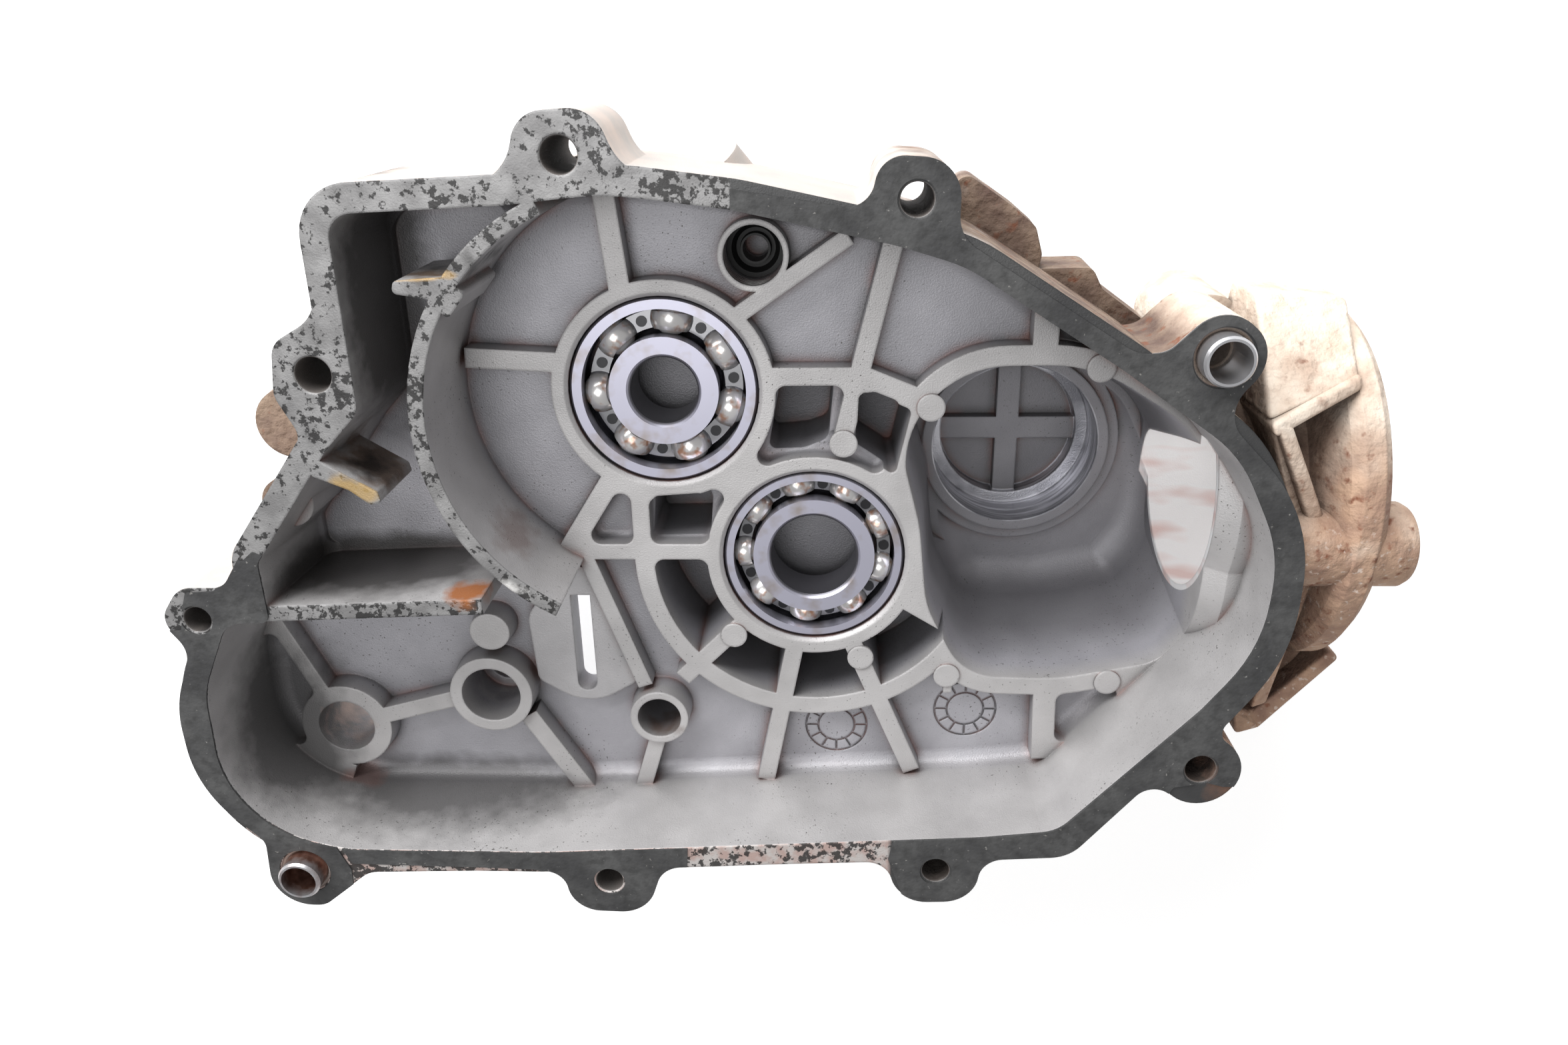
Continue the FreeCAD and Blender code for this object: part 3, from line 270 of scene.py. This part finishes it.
# %% [markdown]
# ## Grey of the casting
# The case is a pressure die casting in aluminium. Metal shot into a steel mould gives a satin
# skin with fine dark pits, faintly violet on the pocket floors. The rib tops are painted lighter
# and the pocket floors darker, partly as painted shade, and the deep pockets darker still as
# painted shade. Two ambient occlusion nodes find the corners, a wide one for painted shade and a
# narrow one for painted shade tinted reddish as grime.

# %% Grey of the casting
RIB_TOP_MM = 7.0


def grey_casting(tree, point, z):
    broad = grain(tree, point, 14.0, 0.35, 0.65)
    # Partly painted shade: the pocket floors are a darker, violet grey than the rib tops
    floor_grey_and_shade = blend(tree, broad, "a7a6ac", "b6b5bb")
    rib_grey = blend(tree, broad, "b2b0b0", "c1bfbf")
    grey = blend(tree, ramp(tree, z, RIB_TOP_MM - 6.0, RIB_TOP_MM - 0.5), floor_grey_and_shade, rib_grey)
    pits = grain(tree, point, 0.6, 0.66, 0.72, 2.0, 5.0)
    patches = grain(tree, point, 22.0, 0.46, 0.62, 3.0, 9.0)
    pits = sum_of(tree, "MULTIPLY", pits, sum_of(tree, "ADD", patches, 0.12))
    grey = blend(tree, pits, grey, "5d5b58")
    # Painted shade: the deep pockets are painted darker, and the wide ambient occlusion paints
    # corners darker than open faces
    deep_pocket_shade = sum_of(tree, "MULTIPLY", ramp(tree, z, 0.0, -16.0), 0.55)
    grey = blend(tree, deep_pocket_shade, grey, "6a696b")
    wide = add(tree, "AmbientOcclusion", {"samples": 4}, {"Distance": 14.0 * MM})
    dim = sum_of(tree, "MULTIPLY", ramp(tree, wide.outputs["AO"], 0.85, 0.3), 0.5)
    grey = blend(tree, dim, grey, "4c4b4c")
    # Painted shade in the narrowest corners, tinted reddish as grime
    narrow = add(tree, "AmbientOcclusion", {"samples": 4}, {"Distance": 2.5 * MM})
    corner_grime_and_shade = ramp(tree, narrow.outputs["AO"], 0.85, 0.4)
    reddish = blend(tree, grain(tree, point, 9.0, 0.4, 0.6, 2.0, 3.0), "4a4746", "7a5248")
    return blend(tree, sum_of(tree, "MULTIPLY", corner_grime_and_shade, 0.85), grey, reddish)


# %% [markdown]
# ## Joint face
# The top of the flange is milled, and black sealant is left on it in small torn blotches. A
# rough noise cut at a sharp level gives such islands; a broad one raises that level from place
# to place, so they lie thicker at the top left. Right of the gasket's end a film of its fibre
# covers the face.

# %% Joint face
def joint_face(tree, point, x, y):
    """Bare machined face with black sealant left in blotches, densest at the top left."""
    bare = blend(tree, grain(tree, point, 5.0, 0.35, 0.65), "7e7d7d", "989797")
    low = ramp(tree, y, -55.0, -62.0)
    bare = blend(tree, low, bare, blend(tree, grain(tree, point, 3.0, 0.4, 0.6), "bda59e",
                                        "c9c3c0"))
    thick = grain(tree, point, 26.0, 0.35, 0.65, 2.0, 13.0)
    blotches = add(tree, "TexNoise", None, {"Vector": point, "Scale": 1.0 / 1.9, "Detail": 7.0,
                                            "Roughness": 0.66})
    over = sum_of(tree, "SUBTRACT", blotches.outputs["Fac"],
                  sum_of(tree, "SUBTRACT", 0.575, sum_of(tree, "MULTIPLY", thick, 0.11)))
    face = blend(tree, sum_of(tree, "MULTIPLY", ramp(tree, over, 0.0, 0.035), 0.92), bare,
                 "2b2a2a")
    film = sum_of(tree, "MULTIPLY", ramp(tree, x, -15.0, -14.4),
                  sum_of(tree, "MAXIMUM", ramp(tree, y, -56.0, -55.0), ramp(tree, x, 17.0, 18.0)))
    return blend(tree, film, face, blend(tree, grain(tree, point, 11.0, 0.35, 0.65), "404041",
                                         "4d4d4d"))


# %% [markdown]
# ## Mud
# Outside, the right end is caked with dry mud: tan and brown in broad patches, painted pale
# where it faces the light as painted light, with rusty spots, pale crumbs and hollows painted
# dark as painted shade. Each of these is one noise or one ramp, laid over the last.

# %% Mud
def mud(tree, point, x, y):
    """Dry mud: painted pale towards the light as painted light, tan to brown below, with crumbs,
    rust and hollows painted dark as painted shade.
    """
    fields = grain(tree, point, 13.0, 0.36, 0.64, 3.0, 31.0)
    patches = grain(tree, point, 6.5, 0.34, 0.68, 4.0, 47.0)
    height = sum_of(tree, "ADD", y, sum_of(tree, "MULTIPLY", fields, 26.0))
    # Painted light: paler towards high y, where the light comes from
    pale_painted_light = sum_of(tree, "MULTIPLY", ramp(tree, height, 24.0, 66.0), ramp(tree, x, 70.0, 76.0))
    tan = blend(tree, patches, "bb9b83", "927464")
    tan = blend(tree, ramp(tree, x, 76.0, 70.0), tan, blend(tree, patches, "94806f", "67534a"))
    colour = blend(tree, pale_painted_light, tan, blend(tree, patches, "efe2d3", "d6c1ae"))
    rust = sum_of(tree, "MULTIPLY", grain(tree, point, 3.0, 0.6, 0.72, 3.0, 61.0),
                  ramp(tree, pale_painted_light, 1.0, 0.4))
    colour = blend(tree, rust, colour, "7c4f3a")
    crumbs = sum_of(tree, "MULTIPLY", grain(tree, point, 1.3, 0.62, 0.7, 2.0, 21.0),
                    ramp(tree, y, 24.0, 8.0))
    colour = blend(tree, crumbs, colour, "c9b6a9")
    # Painted shade: dark brown in the hollows
    mud_shade_ao = add(tree, "AmbientOcclusion", {"samples": 4}, {"Distance": 16.0 * MM})
    mud_shade = sum_of(tree, "MULTIPLY", ramp(tree, mud_shade_ao.outputs["AO"], 0.75, 0.25), 0.8)
    return blend(tree, mud_shade, colour, "3c2b22")


# %% [markdown]
# ## Bores
# The nose bore and the closed bearing seat are turned, so they are told from the cast skin by
# their distance from their axes; so are the bolt holes, whose walls are painted dark as painted
# shade.

# %% Bores
NOSE_AXIS, NOSE_BORE_MM, NOSE_OPENS_MM = (0.0, 13.8, -11.0), 26.0, 84.3
SEAT_AXIS, SEAT_BORE_MM, SEAT_LIP_MM, SEAT_TOP_MM = (51.3, 13.8, 0.0), 21.0, 17.6, -33.0
BOLT_HOLES = [                                    # x, y and radius
    (-45.7, 91.1, 3.4), (19.6, 82.6, 3.1), (85.7, -40.3, 3.3), (28.3, -68.9, 3.1),
    (-48.4, -72.9, 3.1), (-133.3, -4.0, 2.9), (-98.3, 50.3, 3.6),
]


def in_nose_bore(tree, point, x):
    """1 on the wall of the nose bore, from where it opens into the case outwards."""
    bore = from_axis(tree, point, NOSE_AXIS, (0.0, 1.0, 1.0))
    return sum_of(tree, "MULTIPLY", ramp(tree, x, NOSE_OPENS_MM, NOSE_OPENS_MM + 0.3),
                  ramp(tree, bore, NOSE_BORE_MM + 1.4, NOSE_BORE_MM + 1.2))


def in_closed_seat(tree, point, z):
    """1 on the turned wall and ledge of the closed seat, below its top."""
    away = from_axis(tree, point, SEAT_AXIS, (1.0, 1.0, 0.0))
    ring = sum_of(tree, "MULTIPLY", ramp(tree, away, SEAT_LIP_MM, SEAT_LIP_MM + 0.3),
                  ramp(tree, away, SEAT_BORE_MM + 0.4, SEAT_BORE_MM + 0.2))
    return sum_of(tree, "MULTIPLY", ramp(tree, z, SEAT_TOP_MM, SEAT_TOP_MM - 0.3), ring)


def in_bolt_holes(tree, point):
    """1 on the walls of the bolt holes, which are painted dark as painted shade."""
    found = 0.0
    for x, y, radius in BOLT_HOLES:
        away = from_axis(tree, point, (x, y, 0.0), (1.0, 1.0, 0.0))
        found = sum_of(tree, "MAXIMUM", found, ramp(tree, away, radius + 0.25, radius + 0.1))
    return found


# %% [markdown]
# ## Die-cast aluminium
# One material carries the whole case, because it is one casting. It starts from the grey skin
# and lays the milled face, the outside, the turned bores, the stains and the painted shades over
# it. Where mud covers the metal it is neither metallic nor smooth. The bump is fine on the skin
# and lumpy in the mud, and a bevel in the normals rounds the casting's edges.

# %% Die-cast aluminium
JOINT_FACE_MM = 30.85
CAST_METALLIC, SEAT_METALLIC = 0.35, 0.85
CAST_ROUGHNESS = 0.44


def cast_aluminium():
    material, tree, shader = new_finish("die_cast_aluminium", {})
    point, (x, y, z) = places(tree)
    colour = grey_casting(tree, point, z)

    # Bare machined top of the flange, the arc wall and the straight wall
    face = ramp(tree, z, JOINT_FACE_MM - 0.1, JOINT_FACE_MM)
    colour = blend(tree, face, colour, joint_face(tree, point, x, y))

    # Outside: dusty casting on the left and the top, mud on the right
    ragged = sum_of(tree, "MULTIPLY", grain(tree, point, 4.0, 0.3, 0.7, 4.0, 17.0), 1.6)
    outside = ramp(tree, sum_of(tree, "ADD", inside_distance(tree, point, x), ragged), 1.2, -0.4)
    outside = sum_of(tree, "MULTIPLY", outside, ramp(tree, z, JOINT_FACE_MM, JOINT_FACE_MM - 0.3))
    nose, seat = in_nose_bore(tree, point, x), in_closed_seat(tree, point, z)
    outside = sum_of(tree, "MULTIPLY", outside, sum_of(tree, "SUBTRACT", 1.0, nose))
    dusty = blend(tree, grain(tree, point, 9.0, 0.35, 0.65, 5.0, 41.0), "b3aeaa", "c9bbb2")
    wander = sum_of(tree, "MULTIPLY", grain(tree, point, 12.0, 0.3, 0.7), 30.0)
    muddy = ramp(tree, sum_of(tree, "ADD", x, wander), 28.0, 48.0)
    left_tabs = sum_of(tree, "MULTIPLY", ramp(tree, x, -104.0, -112.0), ramp(tree, y, 4.0, 14.0))
    muddy = sum_of(tree, "MAXIMUM", muddy, left_tabs)
    colour = blend(tree, outside, colour, blend(tree, muddy, dusty, mud(tree, point, x, y)))

    # The nose bore is painted white with soft pink bands as painted highlight and painted
    # reflection; the closed seat is darker and ringed
    bands = add(tree, "VectorMath", {"operation": "MULTIPLY"}, {0: point, 1: (0.3, 1.0, 0.5)})
    pink_reflection_bands = grain(tree, bands.outputs[0], 7.0, 0.5, 0.68, 2.0, 51.0)
    colour = blend(tree, nose, colour, blend(tree, pink_reflection_bands, "ffffff", "ecd3ce"))
    rings = add(tree, "VectorMath", {"operation": "MULTIPLY"}, {0: point, 1: (0.1, 0.1, 1.0)})
    colour = blend(tree, seat, colour, blend(tree, grain(tree, rings.outputs[0], 1.6, 0.4, 0.6),
                                             "86868c", "d2d2d8"))
    # Painted shade: the walls of the bolt holes are painted near black
    colour = blend(tree, sum_of(tree, "MULTIPLY", in_bolt_holes(tree, point), 0.85), colour,
                   "25211f")

    # Painted shade: soft dark blots where walls and floors fall in shade, kept off the milled
    # face
    for i, (centre, radii, shade, strength) in enumerate(PAINTED_SHADES):
        mask = blot(tree, point, centre, radii, 2.9 * i, SOFT)
        mask = sum_of(tree, "MULTIPLY", mask, sum_of(tree, "SUBTRACT", 1.0, face))
        colour = blend(tree, sum_of(tree, "MULTIPLY", mask, strength), colour, shade)
    # Stains, and painted shade in the nose's two pockets
    for i, (centre, radii, stain_or_shade, strength) in enumerate(STAINS_AND_POCKET_SHADE):
        mask = blot(tree, point, centre, radii, 3.7 * i)
        colour = blend(tree, sum_of(tree, "MULTIPLY", mask, strength), colour, stain_or_shade)
    tree.links.new(colour, shader.inputs["Base Color"])

    # Satin inside, dull under mud
    smoother = sum_of(tree, "SUBTRACT", CAST_ROUGHNESS, sum_of(tree, "MULTIPLY", seat, 0.16))
    rough = sum_of(tree, "ADD", smoother, sum_of(tree, "MULTIPLY", outside, 0.4))
    tree.links.new(rough, shader.inputs["Roughness"])
    metal = sum_of(tree, "MULTIPLY", sum_of(tree, "SUBTRACT", 1.0, outside), CAST_METALLIC)
    metal = sum_of(tree, "MAXIMUM", metal, sum_of(tree, "MULTIPLY", seat, SEAT_METALLIC))
    tree.links.new(metal, shader.inputs["Metallic"])

    fine = grain(tree, point, 0.35, 0.3, 0.7)
    lumps = sum_of(tree, "MULTIPLY", sum_of(tree, "MULTIPLY", outside, muddy),
                   grain(tree, point, 2.8, 0.35, 0.7, 3.0, 21.0))
    relief = sum_of(tree, "ADD", sum_of(tree, "MULTIPLY", fine, 0.04),
                    sum_of(tree, "MULTIPLY", lumps, 0.45))
    edge = add(tree, "Bevel", {"samples": 4}, {"Radius": 0.7 * MM})
    bump = add(tree, "Bump", None, {"Height": relief, "Strength": 0.8, "Distance": 1.0 * MM,
                                    "Normal": edge.outputs["Normal"]})
    tree.links.new(bump.outputs["Normal"], shader.inputs["Normal"])
    return material


# %% [markdown]
# ## The bearings, sleeves, gasket and rubber
# The rings are ground steel, painted black down in the race as painted shade and darker in their
# bores. The cages are pressed sheet, painted bright over the balls as painted highlight, with
# warm patches as painted reflection and dark rivet heads; the balls are polished. The sleeves are
# rolled sheet, browned by rust. The gasket is grey fibre, flecked where it tore.
# Each is a short network of its own, as each is another material on the real gearbox.

# %% Finishes of the small parts
CAGE_FLAT_MM = 0.9          # level of the cages' flats above the joint of their halves
RING_BORES = [(-32.7, 39.6, 7.5), (0.0, 0.0, 10.0)]     # x, y and radius of the bores, which are painted darker


def ground_steel():
    """Ring faces, faintly violet, with a brown film in patches, darker bores and the race painted
    black as painted shade.
    """
    material, tree, shader = new_finish("ground_steel", {"Metallic": 0.8, "Roughness": 0.36})
    point, _ = places(tree)
    film = grain(tree, point, 6.0, 0.52, 0.75, 3.0, 2.0)
    colour = blend(tree, film, "c0bfce", "a79d99")
    for x, y, radius in RING_BORES:
        away = from_axis(tree, point, (x, y, 0.0), (1.0, 1.0, 0.0))
        colour = blend(tree, ramp(tree, away, radius + 0.5, radius + 0.2), colour, "66656b")
    # Painted shade: near black down in the race
    race = add(tree, "AmbientOcclusion", {"samples": 4}, {"Distance": 5.0 * MM})
    race_shade = sum_of(tree, "MULTIPLY", ramp(tree, race.outputs["AO"], 0.7, 0.4), 0.9)
    tree.links.new(blend(tree, race_shade, colour, "19191b"), shader.inputs["Base Color"])
    return material


def polished_steel():
    """Balls: bright, under a thin brown film of oil."""
    material, tree, shader = new_finish("polished_steel", {"Metallic": 0.4, "Roughness": 0.2})
    point, _ = places(tree)
    oil = grain(tree, point, 2.5, 0.45, 0.7, 2.0, 8.0)
    tree.links.new(blend(tree, oil, "f4f3f6", "d8bba6"), shader.inputs["Base Color"])
    return material


def pressed_cage():
    """Pressed sheet: domes over the balls painted bright as painted highlight, with warm patches
    as painted reflection; grey flats between them.
    """
    material, tree, shader = new_finish("pressed_cage", {"Metallic": 0.6, "Roughness": 0.22})
    point, (_, _, z) = places(tree)
    # Painted reflection: warm patches on the domes
    film = grain(tree, point, 2.2, 0.52, 0.7, 2.0, 8.0)
    dome_highlight_and_reflection = blend(tree, film, "dcdad9", "b88f78")
    # Painted highlight: the raised domes are lighter than the flats
    colour = blend(tree, ramp(tree, z, CAGE_FLAT_MM, CAGE_FLAT_MM + 0.8), "98989b", dome_highlight_and_reflection)
    tree.links.new(colour, shader.inputs["Base Color"])
    return material


def rivet_heads():
    """Upset heads, black with oil."""
    material, _, _ = new_finish("rivet_heads", {
        "Base Color": hex_colour("39393b"), "Metallic": 0.6, "Roughness": 0.3})
    return material


def sleeve_steel(name, brown_from, brown_to):
    """Rolled sleeve; heat and rust have browned it from one level down to another."""
    material, tree, shader = new_finish(name, {"Metallic": 0.85, "Roughness": 0.34})
    point, (_, _, z) = places(tree)
    rust = grain(tree, point, 2.0, 0.35, 0.65, 4.0, 6.0)
    brown = blend(tree, rust, "7a5548", "a98476")
    amount = ramp(tree, sum_of(tree, "ADD", z, sum_of(tree, "MULTIPLY", rust, 1.5)), brown_to,
                  brown_from)
    tree.links.new(blend(tree, amount, "c6c6c9", brown), shader.inputs["Base Color"])
    return material


def fibre_gasket():
    """Grey fibre sheet with dark smears and light flecks."""
    material, tree, shader = new_finish("fibre_gasket", {"Roughness": 0.75})
    point, _ = places(tree)
    broad = grain(tree, point, 11.0, 0.35, 0.65)
    colour = blend(tree, broad, "383839", "4e4e4e")
    smears = sum_of(tree, "MULTIPLY", grain(tree, point, 2.2, 0.45, 0.7, 6.0, 2.0), 0.6)
    colour = blend(tree, smears, colour, "2a2a2a")
    flecks = grain(tree, point, 1.0, 0.69, 0.75, 4.0, 4.0)
    colour = blend(tree, flecks, colour, "807e7b")
    tree.links.new(colour, shader.inputs["Base Color"])
    bump = add(tree, "Bump", None, {"Height": grain(tree, point, 0.8, 0.3, 0.7),
                                    "Strength": 0.5, "Distance": 0.1 * MM})
    tree.links.new(bump.outputs["Normal"], shader.inputs["Normal"])
    return material


def black_rubber():
    """Ring in the breather hole, dull with age."""
    material, _, _ = new_finish("black_rubber", {
        "Base Color": hex_colour("131313"), "Roughness": 0.55})
    return material


# Each node takes the first finish whose words are all in its name
FINISHES = [
    ("housing", cast_aluminium()), ("cage_rivets", rivet_heads()), ("cage", pressed_cage()),
    ("breather", black_rubber()), ("ring", ground_steel()), ("balls", polished_steel()),
    ("sleeve_right", sleeve_steel("rolled_sleeve", 20.0, 24.0)),
    ("sleeve_left", sleeve_steel("browned_sleeve", 33.0, 36.5)), ("gasket", fibre_gasket()),
]
for name, piece in NODES.items():
    piece.data.materials.clear()
    piece.data.materials.append(next(finish for words, finish in FINISHES if words in name))
print("finishes:", len(FINISHES))

# %% [markdown]
# ## Webs on the nose
# Outside, the nose carries a round lug along its side and thin cast walls round two pockets.
# They could be carved from one block, but each is plain: a wall is an outline raised from one
# set of heights to another, and the lug is a profile turned about its axis. A bevel rounds
# their edges as a casting's are. They wear the case's own finish and ride on the case.

# %% Webs on the nose
def shape(name, corners, faces, rounded):
    """A mesh from corners in millimetres, riding on the case in the case's own finish."""
    mesh = bpy.data.meshes.new(name)
    mesh.from_pydata(corners * MM, [], faces)
    mesh.materials.append(NODES["housing"].data.materials[0])
    mesh.shade_smooth()
    piece = bpy.data.objects.new(name, mesh)
    bpy.context.scene.collection.objects.link(piece)
    bevel = piece.modifiers.new("rounded edges", "BEVEL")
    bevel.width, bevel.segments, bevel.harden_normals = rounded * MM, 3, True
    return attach(piece, NODES["housing"]["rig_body"])


def wall(name, outline, lows, tops):
    """An upright wall: each corner of the outline at its low and its top height, joined."""
    flat, count = np.array(outline), len(outline)
    corners = np.vstack([np.column_stack([flat, lows]), np.column_stack([flat, tops])])
    i = np.arange(count)
    j = (i + 1) % count
    sides = np.column_stack([i, j, count + j, count + i]).tolist()
    return shape(name, corners, [i[::-1].tolist(), (count + i).tolist(), *sides], 1.2)


def round_lug(name, profile, y, z, steps=64):
    """Turned along x: each place of the profile (x, radius) is carried round the axis."""
    turn = np.linspace(0.0, 2 * np.pi, steps, endpoint=False)
    x, radius = np.array(profile).T[..., None]
    corners = np.stack([x + 0 * turn, y + radius * np.cos(turn), z + radius * np.sin(turn)],
                       axis=-1).reshape(-1, 3)
    k, i = np.mgrid[0:len(profile) - 1, 0:steps]
    j = (i + 1) % steps
    sides = np.stack([k * steps + i, k * steps + j, (k + 1) * steps + j, (k + 1) * steps + i],
                     axis=-1).reshape(-1, 4).tolist()
    first = np.arange(steps)
    last = first + steps * (len(profile) - 1)
    return shape(name, corners, [first[::-1].tolist(), last.tolist(), *sides], 0.3)


# Outlines run anticlockwise, seen from above
webs = [
    round_lug("nose_lug", [(98.0, 9.0), (122.8, 9.0), (124.2, 8.2), (124.8, 6.8)], 9.8, 20.8),
    wall("nose_ridge", [(90.5, 38.5), (92.0, 35.5), (111.5, 43.0), (111.3, 46.0)],
         [4.0, 6.0, -4.0, -6.0], [28.5, 28.5, 19.5, 18.5]),
    wall("nose_roof", [(90.5, 38.5), (111.3, 45.0), (113.0, 58.0), (93.0, 60.0)],
         [-12.0, -12.0, -14.0, -12.0], [27.0, 18.0, 2.0, 4.0]),
    wall("nose_bar", [(91.5, 38.5), (105.0, 10.5), (108.5, 12.0), (95.5, 38.0)],
         [4.0, 16.5, 16.5, 4.0], [28.5, 24.5, 24.5, 27.0]),
    wall("nose_bar_side", [(92.0, 36.0), (100.5, 12.0), (100.5, 1.0), (104.5, 0.0), (106.0, 11.0),
                           (92.5, 38.5)],
         [6.0, 16.5, 15.0, 15.0, 16.5, 4.0], [25.5, 24.0, 23.0, 22.0, 23.0, 26.0]),
    wall("low_bar", [(102.0, 2.0), (100.0, -33.0), (105.0, -34.0), (107.5, 2.0)],
         [15.5, -12.0, -12.0, 15.5], [24.0, 18.0, 14.0, 22.0]),
    wall("low_flap", [(99.5, -43.0), (105.5, -42.5), (122.0, -24.0), (119.5, -22.0),
                      (103.5, -38.0), (97.0, -34.0)],
         6 * [-20.0], [13.0, 11.0, 10.0, 10.0, 11.0, 16.0]),
    wall("low_pocket_floor", [(98.0, -30.0), (104.0, -40.0), (121.0, -24.0), (112.0, -17.5)],
         4 * [-22.0], 4 * [-10.0]),
]
print("webs:", len(webs))

# %% [markdown]
# ## Floor and light
# The part lies on a white table that is lit from within, as cut-out photographs are taken, so
# it is bright behind every hole. One broad soft box stands low behind the top edge and lights
# the far walls; the room is an even white.

# %% Floor and light
FLOOR_Z = cad_box[0][2]
FLOOR_SIZE = 6.0
floor_mesh = bpy.data.meshes.new("floor")
half = FLOOR_SIZE / 2
floor_mesh.from_pydata([(-half, -half, FLOOR_Z), (half, -half, FLOOR_Z), (half, half, FLOOR_Z),
                        (-half, half, FLOOR_Z)], [], [(0, 1, 2, 3)])
floor = bpy.data.objects.new("floor", floor_mesh)
bpy.context.scene.collection.objects.link(floor)
floor_finish, floor_tree, floor_shader = new_finish("lit_table", {
    "Base Color": (0.9, 0.9, 0.9, 1.0), "Roughness": 0.9,
    "Emission Color": (1.0, 1.0, 1.0, 1.0), "Emission Strength": 0.45})
floor_mesh.materials.append(floor_finish)

ROOM_WHITE = 0.42
world = bpy.data.worlds.new("studio")
bpy.context.scene.world = world
world.use_nodes = True
world.node_tree.nodes["Background"].inputs["Color"].default_value = (1.0, 1.0, 1.0, 1.0)
world.node_tree.nodes["Background"].inputs["Strength"].default_value = ROOM_WHITE

# Name, place, target, width and height in metres, watts
SOFT_BOXES = [
    ("back_soft_box", (-0.32, 0.56, 0.29), (0.0, 0.0, 0.0), 0.8, 0.4, 8.0),
    ("top_soft_box", (-0.15, 0.10, 0.70), (0.0, 0.0, 0.0), 0.4, 0.4, 1.6),
]
for name, place, target, width, height, watts in SOFT_BOXES:
    lamp = bpy.data.lights.new(name, "AREA")
    lamp.shape = "RECTANGLE"
    lamp.size, lamp.size_y, lamp.energy = width, height, watts
    lit = bpy.data.objects.new(name, lamp)
    bpy.context.scene.collection.objects.link(lit)
    lit.location = place
    lit.rotation_euler = (Vector(target) - Vector(place)).to_track_quat("-Z", "Y").to_euler()
bpy.context.scene.view_settings.view_transform = "Standard"
print("lights:", len(SOFT_BOXES))
